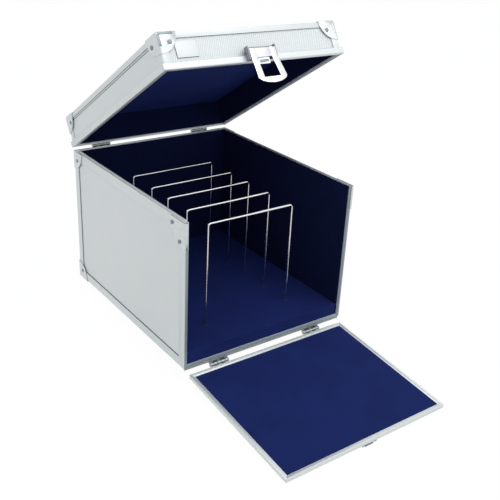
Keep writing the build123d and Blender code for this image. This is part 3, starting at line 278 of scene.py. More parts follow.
def island_vertices(node: str, body: Body) -> list[list[Vector]]:
    """Splits a CAD node into its separate solids.

    Args:
        node: The node's name.
        body: The body it rides on.

    Returns:
        The corner points of each solid, in the closed pose.
    """
    shape = bmesh.new()
    shape.from_mesh(frame["nodes"][node].data)
    bmesh.ops.remove_doubles(shape, verts=shape.verts, dist=1e-6)
    back = TURNS[body].inverted()
    shape.verts.index_update()
    seen: set[int] = set()
    islands = []
    for start in shape.verts:
        if start.index in seen:
            continue
        seen.add(start.index)
        stack, island = [start], []
        while stack:
            vertex = stack.pop()
            island.append(back @ vertex.co)
            for edge in vertex.link_edges:
                other = edge.other_vert(vertex)
                if other.index not in seen:
                    seen.add(other.index)
                    stack.append(other)
        islands.append(island)
    shape.free()
    return islands


def closed_boxes(node: str, body: Body) -> list[Box]:
    """The box of each solid of a CAD node in the closed pose, from left to right."""
    boxes = [Box.round(island) for island in island_vertices(node, body)]
    return sorted(boxes, key=lambda box: tuple(box.low))


def closed_box(node: str, body: Body) -> Box:
    """The box of a whole CAD node in the closed pose."""
    return Box.round(point for island in island_vertices(node, body) for point in island)


# --- Finishes ----------------------------------------------------------------


@dataclass(frozen=True)
class Finish:
    """A surface whose colour, gloss and relief follow one noise pattern of a real size."""

    name: str
    colour: str
    dark: str
    roughness: float
    metallic: float = 0.0
    grain_mm: float = 1.0
    detail: float = 4.0
    grit: float = 0.5
    gloss: Span | None = None  # what the roughness is multiplied by, at least and at most
    bump: float = 0.0
    bump_mm: float = 0.1

    def pattern(self, tree: Tree, places: Socket) -> Socket:
        """Draws the noise that the finish follows.

        Args:
            tree: The material's tree.
            places: The object's own coordinates.

        Returns:
            The noise, from zero to one.
        """
        inputs = {
            "Scale": 1 / (self.grain_mm * MM),
            "Detail": self.detail,
            "Roughness": self.grit,
            "Vector": places,
        }
        return add_node(tree, "ShaderNodeTexNoise", inputs).outputs["Fac"]

    def tint(self, tree: Tree, pattern: Socket) -> Socket:
        """Mixes the two colours by the pattern.

        Args:
            tree: The material's tree.
            pattern: The share of the lighter colour.

        Returns:
            The colour.
        """
        dark, colour = linear(self.dark), linear(self.colour)
        inputs = {"data_type": "RGBA", 0: pattern, 6: dark, 7: colour}
        return add_node(tree, "ShaderNodeMix", inputs).outputs[2]

    def height(self, tree: Tree, places: Socket, pattern: Socket) -> Socket:
        """Chooses the relief that the bump follows.

        Args:
            tree: The material's tree.
            places: The object's own coordinates.
            pattern: The finish's noise.

        Returns:
            The relief.
        """
        return pattern

    def extras(self) -> dict[str, object]:
        """Further values for the shader's sockets."""
        return {}

    def make(self) -> Material:
        """Builds the material.

        Returns:
            The material.
        """
        material = bpy.data.materials.new(self.name)
        material.use_nodes = True
        tree = material.node_tree
        tree.nodes.clear()
        places = add_node(tree, "ShaderNodeTexCoord").outputs["Object"]
        pattern = self.pattern(tree, places)
        inputs = {
            "Base Color": self.tint(tree, pattern),
            "Metallic": self.metallic,
            "Roughness": self.roughness,
            **self.extras(),
        }
        if self.gloss:
            least, most = (self.roughness * share for share in self.gloss)
            ends = {"To Min": least, "To Max": most, "Value": pattern}
            inputs["Roughness"] = add_node(tree, "ShaderNodeMapRange", ends).outputs["Result"]
        if self.bump:
            relief = {
                "Strength": self.bump,
                "Distance": self.bump_mm * MM,
                "Height": self.height(tree, places, pattern),
            }
            inputs["Normal"] = add_node(tree, "ShaderNodeBump", relief).outputs["Normal"]
        shader = add_node(tree, "ShaderNodeBsdfPrincipled", inputs)
        add_node(tree, "ShaderNodeOutputMaterial", {"Surface": shader.outputs["BSDF"]})
        return material


@dataclass(frozen=True)
class EmbossedSheet(Finish):
    """Lacquered aluminium sheet, rolled with a fine diamond pattern.

    The lacquer over the rolled metal leaves a pale satin grey with little shine, and the
    valleys between the diamonds get a little painted shade.
    """

    name: str = "embossed_aluminium_sheet"
    colour: str = "F1F3F3"
    dark: str = "E9EDED"
    roughness: float = 0.46
    metallic: float = 0.25
    grain_mm: float = 38.0
    detail: float = 3.0
    gloss: Span = (0.41 / 0.46, 0.53 / 0.46)
    valley_shade: str = "CFD5D5"

    def tint(self, tree: Tree, pattern: Socket) -> Socket:
        """Paints shade into the valleys of the mixed colours.

        Args:
            tree: The material's tree.
            pattern: The share of the lighter colour.

        Returns:
            The colour.
        """
        plain = Finish.tint(self, tree, pattern)
        relief = add_node(tree, "ShaderNodeAttribute", {"attribute_name": "relief"})
        inputs = {"data_type": "RGBA", 0: relief.outputs["Fac"], 6: linear(self.valley_shade), 7: plain}
        return add_node(tree, "ShaderNodeMix", inputs).outputs[2]

@dataclass(frozen=True)
class DrawnMetal(Finish):
    """Metal with fine lines left by the die or the brush along one axis.

    The lines stretch the highlights along the piece, as on anodised extrusions. Real die
    lines are a few hundredths of a millimetre apart, and these are as coarse as they need
    to be to show.
    """

    metallic: float = 1.0
    grain_mm: float = 0.7
    gloss: Span = (0.75, 1.3)
    bump: float = 0.04
    bump_mm: float = 0.05
    length_mm: float = 60.0
    along: int = 0

    def pattern(self, tree: Tree, places: Socket) -> Socket:
        """Draws noise that is stretched along one axis.

        Args:
            tree: The material's tree.
            places: The object's own coordinates.

        Returns:
            The noise, from zero to one.
        """
        scale = [1 / (self.grain_mm * MM)] * 3
        scale[self.along] = 1 / (self.length_mm * MM)
        stretched = add_node(tree, "ShaderNodeMapping", {"Scale": scale, "Vector": places})
        inputs = {"Scale": 1.0, "Detail": self.detail, "Vector": stretched.outputs["Vector"]}
        return add_node(tree, "ShaderNodeTexNoise", inputs).outputs["Fac"]

@dataclass(frozen=True)
class PlatedSteel(Finish):
    """Pressed steel with a bright zinc or nickel plate.

    Plating follows the slight waves of the pressing, so highlights wander a little.
    """

    metallic: float = 1.0
    grain_mm: float = 5.0
    detail: float = 5.0
    grit: float = 0.6
    gloss: Span = (0.7, 1.4)
    bump: float = 0.12
    bump_mm: float = 0.2

@dataclass(frozen=True)
class Velvet(Finish):
    """Navy flock velvet: short dense pile that glows at grazing angles.

    Brushed patches lean different ways, so the blue shifts a little from place to place.
    Real pile is about 0.1 mm apart, and this one is as coarse as it needs to be to show.
    """

    name: str = "navy_velvet"
    colour: str = "1C2C6C"
    dark: str = "141F52"
    roughness: float = 0.95
    grain_mm: float = 45.0
    detail: float = 6.0
    grit: float = 0.62
    bump: float = 0.5
    bump_mm: float = 0.25
    sheen_colour: str = "3C55B4"
    sheen: float = 0.35
    pile_mm: float = 0.9

    def height(self, tree: Tree, places: Socket, pattern: Socket) -> Socket:
        """Draws the pile's own relief.

        Args:
            tree: The material's tree.
            places: The object's own coordinates.
            pattern: The finish's noise, which the pile doesn't follow.

        Returns:
            The relief.
        """
        inputs = {"Scale": 1 / (self.pile_mm * MM), "Detail": 2.0, "Vector": places}
        return add_node(tree, "ShaderNodeTexNoise", inputs).outputs["Fac"]

    def extras(self) -> dict[str, object]:
        """The sheen of the pile's tips."""
        return {
            "Specular IOR Level": 0.15,
            "Sheen Weight": self.sheen,
            "Sheen Roughness": 0.35,
            "Sheen Tint": linear(self.sheen_colour),
        }


@dataclass(frozen=True)
class Moulded(Finish):
    """Moulded rubber, plastic or pressed fibre with a fine matt grain."""

    grain_mm: float = 0.6
    bump: float = 0.25


class Finishes:
    """Every finish of the case, made once and shared by its pieces."""

    def __init__(self) -> None:
        """Builds the materials."""
        self.sheet = EmbossedSheet().make()
        # Anodised extrusion: pale satin metal whose highlights run along the rail.
        pale = {"colour": "E4E8E8", "dark": "D5DBDC", "roughness": 0.42, "metallic": 0.55}
        self.rail_x = DrawnMetal("anodised_extrusion_x", along=0, **pale).make()
        self.rail_y = DrawnMetal("anodised_extrusion_y", along=1, **pale).make()
        self.rail_z = DrawnMetal("anodised_extrusion_z", along=2, **pale).make()
        # Painted shade: the same metal in a flat slate grey, for the front faces that look out of
        # the light.
        painted_shade = {"colour": "A7B2B6", "dark": "929EA3", "roughness": 0.45, "metallic": 0.4}
        self.painted_shade_x = DrawnMetal("shaded_extrusion_face_x", along=0, **painted_shade).make()
        self.painted_shade_z = DrawnMetal("shaded_extrusion_face_z", along=2, **painted_shade).make()
        # Painted shade and painted dark reflection: a darker copy still, beside the velvet, for rim
        # tops and rail undersides.
        painted_deep_shade = {"colour": "7D8890", "dark": "68737B", "roughness": 0.45, "metallic": 0.4}
        self.painted_deep_shade_x = DrawnMetal("dark_extrusion_face_x", along=0, **painted_deep_shade).make()
        self.painted_deep_shade_y = DrawnMetal("dark_extrusion_face_y", along=1, **painted_deep_shade).make()
        # Painted shade: a thin matt dark line for the shadow in the groove between rail and board.
        self.gap = Moulded("dark_sealing_strip", "4E5352", "3C4140", 0.7).make()
        # Moulded collar: nearly lost in the velvet round it.
        self.collar = Moulded("dark_divider_collar", "141B3A", "0E1430", 0.8).make()
        # Darker plated steel: a painted dark reflection on the left cap's bands, beside the pale
        # cap; the knurl shares it.
        self.band = PlatedSteel("stamped_band", "8E9599", "6F767A", 0.28).make()
        # Zinc plate, darkened as painted shade where it hangs under the frame's edge: a small dark
        # tongue.
        self.shaded_catch = PlatedSteel("zinc_plated_catch", "858B91", "5F656B", 0.34, grain_mm=2.0).make()
        # Nickel plate with a painted reflection of a bright sky: nearly even and faintly lilac.
        self.web = PlatedSteel("pale_lever_web", "DAD9E1", "C9C8D2", 0.35, bump=0.05).make()
        # Zinc-plated pressing: clear but slightly wandering highlights.
        self.cap = PlatedSteel("zinc_plated_pressing", "D9DDDE", "B9C0C3", 0.22).make()
        # Nickel plate: the brightest and sharpest metal of the case.
        self.bright = PlatedSteel("nickel_plated_steel", "F6F7F7", "E6E9EA", 0.16, bump=0.05).make()
        # Zinc-plated hinge leaf: greyer, with close waves.
        hinge = PlatedSteel("zinc_plated_hinge_steel", "B9BEC0", "858C90", 0.34, grain_mm=2.5)
        self.hinge = hinge.make()
        # Plated rivet: a small dark dot with one highlight.
        rivet = PlatedSteel("plated_rivet_steel", "9CA1A4", "6E7478", 0.30, grain_mm=2.0)
        self.rivet = rivet.make()
        # Knurled plate: rough enough to break every highlight.
        base = PlatedSteel("knurled_plated_steel", "B4B5BC", "7C7E86", 0.38, grain_mm=1.2, bump=0.5)
        self.base = base.make()
        # Drawn wire: a thin bright line along each hoop.
        self.wire = DrawnMetal("bright_drawn_wire", "E6E7E6", "C9CBCC", 0.16, grain_mm=0.4).make()
        # Velvet, and a darker copy for the walls: painted shade for the walls inside the case and
        # lid.
        self.velvet = Velvet().make()
        self.shaded_wall_velvet = Velvet(
            "navy_velvet_brushed_down", "121C48", "0B1232", sheen_colour="24346E", sheen=0.2
        ).make()
        # Black rubber: soft, without highlights.
        self.rubber = Moulded("matt_black_rubber", "1B1B1C", "101011", 0.75).make()
        # Fibreboard: brown and dull, with a coarse grain.
        self.fibre = Moulded("pressed_fibreboard", "7A6248", "5E4A34", 0.85, grain_mm=1.5).make()
        # Moulded plastic: black with a broad soft highlight.
        self.grip = Moulded("black_moulded_grip", "202124", "141517", 0.48).make()
        # Brushed plate: flat and pale, against the embossed sheet round it.
        label = DrawnMetal("brushed_label_plate", "E9ECEC", "DFE3E3", 0.5, 0.3, grain_mm=0.5)
        self.label = label.make()


# --- Formulas and trees ------------------------------------------------------


@dataclass(frozen=True)
class Number:
    """A value in a node tree that formulas are written with, one node for each step."""

    tree: Tree
    socket: Socket

    def step(self, operation: str, other: "Number | float" = 0.0) -> "Number":
        """Takes one step of a formula.

        Args:
            operation: What is done, such as "SQRT".
            other: The second value, where the step has one.

        Returns:
            The result.
        """
        second = other.socket if isinstance(other, Number) else other
        inputs = {"operation": operation, 0: self.socket, 1: second}
        return Number(self.tree, add_node(self.tree, "ShaderNodeMath", inputs).outputs[0])

    def __add__(self, other: "Number | float") -> "Number":
        """Adds."""
        return self.step("ADD", other)

    def __sub__(self, other: "Number | float") -> "Number":
        """Subtracts."""
        return self.step("SUBTRACT", other)

    def __rsub__(self, other: float) -> "Number":
        """Subtracts from a plain number."""
        return self * -1.0 + other

    def __mul__(self, other: "Number | float") -> "Number":
        """Multiplies."""
        return self.step("MULTIPLY", other)

    def __truediv__(self, other: "Number | float") -> "Number":
        """Divides."""
        return self.step("DIVIDE", other)


def numbers(node: Node) -> dict[str, Number]:
    """A node's outputs by name, ready for formulas."""
    return {socket.name: Number(node.id_data, socket) for socket in node.outputs if socket.name}


HeightRule = Callable[[Tree, dict[str, Number], dict[str, Number]], Number]


def start_tree(
    name: str, sizes: dict[str, float], counts: Iterable[str] = ()
) -> tuple[Tree, Node]:
    """Starts a Geometry Nodes tree with its named inputs.

    Args:
        name: The tree's name.
        sizes: Names and starting values of its sizes.
        counts: Names of its whole numbers.

    Returns:
        The tree and its input node.
    """
    tree = bpy.data.node_groups.new(name, "GeometryNodeTree")
    add = tree.interface.new_socket
    add("Geometry", in_out="INPUT", socket_type="NodeSocketGeometry")
    add("Geometry", in_out="OUTPUT", socket_type="NodeSocketGeometry")
    add("Finish", in_out="INPUT", socket_type="NodeSocketMaterial")
    for label, value in sizes.items():
        add(label, in_out="INPUT", socket_type="NodeSocketFloat").default_value = value
    for label in counts:
        add(label, in_out="INPUT", socket_type="NodeSocketInt")
    return tree, add_node(tree, "NodeGroupInput")


def end_tree(tree: Tree, given: Node, shape: Socket) -> Tree:
    """Ends a tree: its instances are realised and get the finish.

    Args:
        tree: The tree.
        given: Its input node.
        shape: The geometry it has made.

    Returns:
        The tree.
    """
    real = add_node(tree, "GeometryNodeRealizeInstances", {0: shape})
    inputs = {"Geometry": real.outputs[0], "Material": given.outputs["Finish"]}
    dressed = add_node(tree, "GeometryNodeSetMaterial", inputs)
    add_node(tree, "NodeGroupOutput", {0: dressed.outputs[0]})
    return tree


def grow(piece: Piece, tree: Tree, inputs: dict[str, object]) -> Mesh:
    """Runs a tree on a piece and keeps the result as its plain mesh.

    Args:
        piece: The piece.
        tree: The tree.
        inputs: Values for its inputs, by name.

    Returns:
        The new mesh.
    """
    modifier = piece.modifiers.new(tree.name, "NODES")
    modifier.node_group = tree
    ports = {i.name: i.identifier for i in tree.interface.items_tree if i.in_out == "INPUT"}
    for name, value in inputs.items():
        modifier[ports[name]] = value
    return finished_mesh(piece)


def relief_tree(name: str, height_of: HeightRule, sizes: dict[str, float]) -> Tree:
    """Builds a tree that raises a slab's upper face by a formula.

    Args:
        name: The tree's name.
        height_of: Builds the height from the tree, its inputs and the position's parts.
        sizes: Names and starting values of the tree's own sizes.

    Returns:
        The tree.
    """
    tree, given = start_tree(name, sizes)
    place = add_node(tree, "GeometryNodeInputPosition")
    parts = add_node(tree, "ShaderNodeSeparateXYZ", {0: place.outputs[0]})
    above = {"operation": "GREATER_THAN", 0: parts.outputs["Z"], 1: -0.00001}
    upper = add_node(tree, "FunctionNodeCompare", above)
    height = height_of(tree, numbers(given), numbers(parts))
    level = {
        "data_type": "FLOAT",
        "domain": "POINT",
        "Name": "relief",
        "Geometry": given.outputs["Geometry"],
        "Value": (height / FULL_RELIEF + 1.0).socket,
    }
    stored = add_node(tree, "GeometryNodeStoreNamedAttribute", level)
    offset = add_node(tree, "ShaderNodeCombineXYZ", {"Z": height.socket})
    move = {
        "Geometry": stored.outputs[0],
        "Selection": upper.outputs[0],
        "Offset": offset.outputs[0],
    }
    return end_tree(tree, given, add_node(tree, "GeometryNodeSetPosition", move).outputs[0])


def edge_distance(given: dict[str, Number], parts: dict[str, Number]) -> Number:
    """The distance from a point of a slab to the slab's nearest edge.

    Args:
        given: The relief tree's inputs.
        parts: The position's X, Y and Z.

    Returns:
        The distance.
    """
    across = given["Half Length"] - parts["X"].step("ABSOLUTE")
    return across.step("MINIMUM", given["Half Width"] - parts["Y"].step("ABSOLUTE"))


def diamond_height(tree: Tree, given: dict[str, Number], parts: dict[str, Number]) -> Number:
    """Height of the rolled diamonds: rows of low pyramids with a flat border.

    Args:
        tree: The relief tree.
        given: Its inputs.
        parts: The position's X, Y and Z.

    Returns:
        The height.
    """
    waves = [(parts[a] * math.tau / given["Pitch " + a]).step("COSINE") for a in ("X", "Y")]
    depth = given["Depth"]
    inside = edge_distance(given, parts).step("GREATER_THAN", given["Border"])
    return (waves[0] * waves[1] * depth - depth) * inside


def pile_height(tree: Tree, given: dict[str, Number], parts: dict[str, Number]) -> Number:
    """Height of velvet pile: slightly uneven, and rolled down at the edges.

    Args:
        tree: The relief tree.
        given: Its inputs.
        parts: The position's X, Y and Z.

    Returns:
        The height.
    """
    inputs = {
        "noise_dimensions": "4D",
        "Detail": 2.0,
        "Scale": given["Nap Scale"].socket,
        "W": given["Seed"].socket,
    }
    noise = Number(tree, add_node(tree, "ShaderNodeTexNoise", inputs).outputs[0])
    nap = (noise - 1.0) * given["Nap"]
    near = edge_distance(given, parts) / given["Edge"]
    rest = 1.0 - near.step("MAXIMUM", 0.0).step("MINIMUM", 1.0)
    drop = 1.0 - (1.0 - rest * rest).step("SQRT")
    return nap - drop * given["Roll"]


def heads_tree() -> Tree:
    """Builds the tree that sets a domed head with a dimple on each point.

    Returns:
        The tree.
    """
    dimple_reach, dimple_depth, flat_foot = 0.3, 0.35, -0.15
    tree, given = start_tree("rivet_heads", {"Radius": 0.0, "Height": 0.0})
    size = numbers(given)
    ball = add_node(tree, "GeometryNodeMeshUVSphere", {"Segments": 24, "Rings": 16, "Radius": 1.0})
    place = add_node(tree, "GeometryNodeInputPosition")
    parts = numbers(add_node(tree, "ShaderNodeSeparateXYZ", {0: place.outputs[0]}))
    reach = (parts["X"].step("POWER", 2.0) + parts["Y"].step("POWER", 2.0)).step("SQRT")
    dimple = reach.step("LESS_THAN", dimple_reach) * dimple_depth
    dome = (parts["Z"] - dimple).step("MAXIMUM", flat_foot)
    shape = {
        "X": (parts["X"] * size["Radius"]).socket,
        "Y": (parts["Y"] * size["Radius"]).socket,
        "Z": (dome * size["Height"]).socket,
    }
    shaped = add_node(tree, "ShaderNodeCombineXYZ", shape)
    pressed = {"Geometry": ball.outputs["Mesh"], "Position": shaped.outputs[0]}
    head = add_node(tree, "GeometryNodeSetPosition", pressed)
    named = {"data_type": "FLOAT_VECTOR", "Name": "way"}
    way = add_node(tree, "GeometryNodeInputNamedAttribute", named)
    aim = {"axis": "Z", "Vector": way.outputs["Attribute"]}
    turn = add_node(tree, "FunctionNodeAlignRotationToVector", aim)
    points = add_node(tree, "GeometryNodeMeshToPoints", {"Mesh": given.outputs["Geometry"]})
    spread = {
        "Points": points.outputs[0],
        "Instance": head.outputs[0],
        "Rotation": turn.outputs[0],
    }
    return end_tree(
        tree, given, add_node(tree, "GeometryNodeInstanceOnPoints", spread).outputs[0]
    )


def studs_tree() -> Tree:
    """Builds the tree that covers a small field with four-sided studs.

    Returns:
        The tree.
    """
    sizes = dict.fromkeys(("Length", "Width", "Height", "Radius"), 0.0)
    tree, given = start_tree("knurl", sizes, ("Along", "Across"))
    grid = {
        "Size X": given.outputs["Length"],
        "Size Y": given.outputs["Width"],
        "Vertices X": given.outputs["Along"],
        "Vertices Y": given.outputs["Across"],
    }
    field = add_node(tree, "GeometryNodeMeshGrid", grid)
    cone = {
        "Vertices": 4,
        "Radius Bottom": given.outputs["Radius"],
        "Depth": given.outputs["Height"],
    }
    stud = add_node(tree, "GeometryNodeMeshCone", cone)
    points = add_node(tree, "GeometryNodeMeshToPoints", {"Mesh": field.outputs["Mesh"]})
    spread = {"Points": points.outputs[0], "Instance": stud.outputs["Mesh"]}
    return end_tree(
        tree, given, add_node(tree, "GeometryNodeInstanceOnPoints", spread).outputs[0]
    )


# --- Sheets and rivets -------------------------------------------------------


def steps(length: float, cell: float, edges: tuple[float, ...] = ()) -> list[float]:
    """Places the grid lines along one side of a slab.

    Args:
        length: The side's length.
        cell: The wanted distance between lines.
        edges: Extra distances from each end that get a line.

    Returns:
        Places from minus half the length to plus half of it.
    """
    inner = max(edges, default=0.0)
    count = max(1, round((length - 2 * inner) / cell / 2)) * 2
    spread = [inner + (length - 2 * inner) * i / count for i in range(count + 1)]
    ends = [e for e in (0.0, *edges) if e < inner]
    places = sorted({round(v, 7) for v in [*ends, *spread, *(length - e for e in ends)]})
    return [v - length / 2 for v in places]


def slab(
    name: str, size: tuple[float, float, float], cell: float, edges: tuple[float, ...] = ()
) -> Piece:
    """Makes a closed slab whose top face is a grid and whose top lies at height zero.

    Args:
        name: The object's name.
        size: Length, width and thickness.
        cell: The grid's cell size.
        edges: Extra grid lines near the edges, for a rounded border.

    Returns:
        The slab, lying on its back with its outer face up.
    """
    across = steps(size[0], cell, edges)
    along = steps(size[1], cell, edges)
    shape = bmesh.new()
    rows = [[shape.verts.new((x, y, 0.0)) for x in across] for y in along]
    for low, high in zip(rows, rows[1:]):
        for i in range(len(across) - 1):
            shape.faces.new((low[i], low[i + 1], high[i + 1], high[i]))
    right, left = [row[-1] for row in rows[1:]], [row[0] for row in rows[1:-1]]
    rim = [*rows[0], *right, *reversed(rows[-1][:-1]), *reversed(left)]
    foot = [shape.verts.new((v.co.x, v.co.y, -size[2])) for v in rim]
    for i, vertex in enumerate(rim):
        j = (i + 1) % len(rim)
        shape.faces.new((foot[i], foot[j], rim[j], vertex))
    shape.faces.new(list(reversed(foot)))
    return new_piece(name, mesh_from(name, shape))


@dataclass(frozen=True)
class SlabSpot:
    """Where a slab goes: the box it fills and the way its outer face looks."""

    box: Box
    facing: Facing

    def axes(self) -> tuple[Vector, Vector, Vector]:
        """The slab's length, width and outward directions.

        Returns:
            Three unit vectors.
        """
        out = Vector(self.facing.value)
        across = Vector((0, 1, 0)) if out.x else Vector((1, 0, 0))
        if out.cross(across).dot(Vector((1, 1, 1))) < 0:
            across = -across
        return across, out.cross(across), out

    def sizes(self) -> tuple[float, float, float]:
        """The slab's length, width and thickness."""
        size = self.box.size
        return tuple(abs(size.dot(Vector([abs(c) for c in axis]))) for axis in self.axes())

    def matrix(self) -> Matrix:
        """The turn and move that take the slab from its back to its place.

        Returns:
            A matrix in the closed pose.
        """
        across, along, out = self.axes()
        place = self.box.middle + Vector([o * s / 2 for o, s in zip(out, self.box.size)])
        turn = Matrix((across, along, out)).transposed().to_4x4()
        return Matrix.Translation(place) @ turn


@dataclass(frozen=True)
class RivetSpot:
    """Where a rivet's head sits, the way it looks and its size."""

    seat: Vector
    way: Vector
    radius: float
    height: float

    @classmethod
    def of(cls, island: list[Vector]) -> "RivetSpot":
        """Reads a rivet from the points of its solid.

        Args:
            island: The solid's points in the closed pose.

        Returns:
            The spot of its head.
        """
        least_height, rim_share = 0.4 * MM, 0.9
        box = Box.round(island)
        size, middle = box.size, box.middle
        gaps = [abs(size[(i + 1) % 3] - size[(i + 2) % 3]) for i in range(3)]
        axis = gaps.index(min(gaps))
        sides = [i for i in range(3) if i != axis]
        radius = size[sides[0]] / 2
        centre = [middle[i] for i in sides]
        reach = rim_share * radius
        wide = [p for p in island if math.dist([p[i] for i in sides], centre) > reach]
        seat = sum(p[axis] for p in wide) / len(wide)
        sign = 1 if seat > middle[axis] else -1
        top = box.high[axis] if sign > 0 else box.low[axis]
        place = middle.copy()
        place[axis] = seat
        way = Vector((0, 0, 0))
        way[axis] = sign
        return cls(place, way, radius, max(abs(top - seat), least_height))


# --- The workshop ------------------------------------------------------------


class Workshop:
    """The finishes and Geometry Nodes trees that all the pieces share."""

    def __init__(self, finishes: Finishes) -> None:
        """Keeps the finishes and builds the trees."""
        half = {"Half Length": 0.1, "Half Width": 0.1}
        pitch = {"Pitch X": 2.4 * MM, "Pitch Y": 2.4 * MM}
        nap = {"Nap": 0.12 * MM, "Nap Scale": 160.0, "Seed": 3.0}
        self.finishes = finishes
        self.heads = heads_tree()
        self.studs = studs_tree()
        self.diamonds = relief_tree(
            "rolled_diamonds",
            diamond_height,
            {**half, **pitch, "Depth": 0.16 * MM, "Border": 1.0 * MM},
        )
        self.pile = relief_tree(
            "velvet_pile", pile_height, {**half, **nap, "Edge": 1.2 * MM, "Roll": 0.25 * MM}
        )


@dataclass(frozen=True)
class Shade:
    """A darker second finish, painted shade for the faces of a piece that look one way."""

    finish: Material
    facing: Facing
    from_x: float = -1.0
    least_match: float = 0.8  # cosine of the furthest a face may turn from that way

    def lay(self, mesh: Mesh, turn: Matrix) -> None:
        """Paints shade: gives the darker finish to the faces that look its way and lie right of its
        start.

        Args:
            mesh: The piece's mesh, at rest.
            turn: The turn that took it to rest.
        """
        mesh.materials.append(self.finish)
        way = turn.to_3x3() @ Vector(self.facing.value)
        for polygon in mesh.polygons:
            if polygon.normal.dot(way) > self.least_match and polygon.center.x > self.from_x:
                polygon.material_index = 1


@dataclass(frozen=True)
class Bench:
    """Makes pieces and joins them to one body."""

    shop: Workshop
    body: Body
    board_cell: float = 1.4 * MM
    velvet_cell: float = 3.0 * MM
    velvet_edges: tuple[float, ...] = (0.25 * MM, 0.6 * MM, 1.2 * MM)

    @property
    def look(self) -> Finishes:
        """The workshop's finishes."""
        return self.shop.finishes

    def join(self, piece: Piece, slot: str, nodes: Iterable[str] = ()) -> None:
        """Joins a piece that is at rest to its body.

        Args:
            piece: The piece.
            slot: The record's material slot. It is not used.
            nodes: The CAD nodes that it stands for.
        """
        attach(piece, self.body.value)
        if nodes:
            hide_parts(*nodes)
        LOG.info("%s rides on %s", piece.name, self.body.value)

    def seat(self, piece: Piece, slot: str, nodes: Iterable[str] = ()) -> None:
        """Turns a finished piece from the closed pose to rest and joins it.

        Args:
            piece: The piece, drawn in the closed pose.
            slot: The record's material slot.
            nodes: The CAD nodes that it stands for.
        """
        piece.data.transform(TURNS[self.body])
        self.join(piece, slot, nodes)

    def box(self, node: str) -> Box:
        """The box of a CAD node's first solid in the closed pose."""
        return closed_boxes(node, self.body)[0]

    def board(
        self,
        name: str,
        box: Box,
        facing: Facing,
        nodes: Iterable[str] = (),
        depth_mm: float = SHEET_DEPTH,
    ) -> None:
        """Makes a faced board: the embossed sheet on its core.

        The real diamonds are a little finer. These are as coarse as they need to be to show.

        Args:
            name: The piece's name.
            box: The board's box in the closed pose.
            facing: The way its sheet looks.
            nodes: The CAD nodes that it stands for.
            depth_mm: How deeply the diamonds are rolled.
        """
        spot, cell = SlabSpot(box, facing), self.board_cell
        size = spot.sizes()
        piece = slab(name, size, cell)
        inputs = {
            "Finish": self.look.sheet,
            "Half Length": size[0] / 2,
            "Half Width": size[1] / 2,
            "Depth": depth_mm * MM,
        }
        for axis, cells, length in zip("XY", (2, 4), size):
            inputs["Pitch " + axis] = cells * length / (2 * max(1, round(length / cell / 2)))
        grow(piece, self.shop.diamonds, inputs).transform(spot.matrix())
        self.seat(piece, "faced_board", nodes)

    def velvet(
        self,
        name: str,
        box: Box,
        facing: Facing,
        nodes: Iterable[str] = (),
        seed: float = 3.0,
        wall: bool = True,
    ) -> None:
        """Makes a velvet lining.

        Args:
            name: The piece's name.
            box: The lining's box in the closed pose.
            facing: The way its pile looks.
            nodes: The CAD nodes that it stands for.
            seed: The seed of its nap.
            wall: Whether it takes the darker wall velvet, painted shade for walls inside the case.
        """
        spot = SlabSpot(box, facing)
        size = spot.sizes()
        piece = slab(name, size, self.velvet_cell, self.velvet_edges)
        inputs = {
            # Painted shade: walls take the darker velvet.
            "Finish": self.look.shaded_wall_velvet if wall else self.look.velvet,
            "Half Length": size[0] / 2,
            "Half Width": size[1] / 2,
            "Seed": seed,
        }
        grow(piece, self.shop.pile, inputs).transform(spot.matrix())
        smooth(piece.data)
        self.seat(piece, "velvet", nodes)

    def dressed(
        self,
        node: str,
        finish: Material,
        slot: str = "extrusion",
        edge_mm: float = RAIL_EDGE,
        shade: Shade | None = None,
    ) -> None:
        """Gives a CAD node's metal its broken edges: a cleaned copy with small bevels.

        Args:
            node: The CAD node, which the piece stands for.
            finish: Its material.
            slot: The record's material slot.
            edge_mm: The width of the bevels in millimetres.
            shade: A second finish painted as shade on some of its faces.
        """
        shape = bmesh.new()
        shape.from_mesh(frame["nodes"][node].data)
        bmesh.ops.remove_doubles(shape, verts=shape.verts, dist=2e-6)
        bmesh.ops.dissolve_limit(
            shape,
            angle_limit=FLAT_ANGLE,
            verts=shape.verts,
            edges=shape.edges,
            delimit={"NORMAL"},
        )
        piece = rounded(node + "_dressed", mesh_from(node, shape), finish, edge_mm, 2, 30.0)
        if shade:
            shade.lay(piece.data, TURNS[self.body])
        self.join(piece, slot, [node])

    def bars(
        self,
        name: str,
        boxes: Iterable[Box],
        finish: Material,
        slot: str,
        edge_mm: float = STRIP_EDGE,
    ) -> None:
        """Makes strips and bars with rounded edges as one piece.

        Args:
            name: The piece's name.
            boxes: Each bar's box in the closed pose.
            finish: Its material.
            slot: The record's material slot.
            edge_mm: The width of the rounding in millimetres.
        """
        shape = bmesh.new()
        for box in boxes:
            place = Matrix.Translation(box.middle) @ Matrix.Diagonal((*box.size, 1.0))
            bmesh.ops.create_cube(shape, size=1.0, matrix=place)
        self.seat(rounded(name, mesh_from(name, shape), finish, edge_mm), slot)

    def heads(
        self,
        name: str,
        spots: list[RivetSpot],
        finish: Material,
        slot: str,
        nodes: Iterable[str] = (),
    ) -> None:
        """Sets a domed head on each spot, by Geometry Nodes.

        Args:
            name: The piece's name.
            spots: Where the heads sit. They share the first one's size.
            finish: Their material.
            slot: The record's material slot.
            nodes: The CAD nodes that the piece stands for.
        """
        mesh = bpy.data.meshes.new(name)
        mesh.from_pydata([spot.seat for spot in spots], [], [])
        ways = mesh.attributes.new("way", "FLOAT_VECTOR", "POINT")
        ways.data.foreach_set("vector", [c for spot in spots for c in spot.way])
        piece = new_piece(name, mesh)
        size = {"Radius": spots[0].radius, "Height": spots[0].height}
        smooth(grow(piece, self.shop.heads, {"Finish": finish, **size}))
        self.seat(piece, slot, nodes)

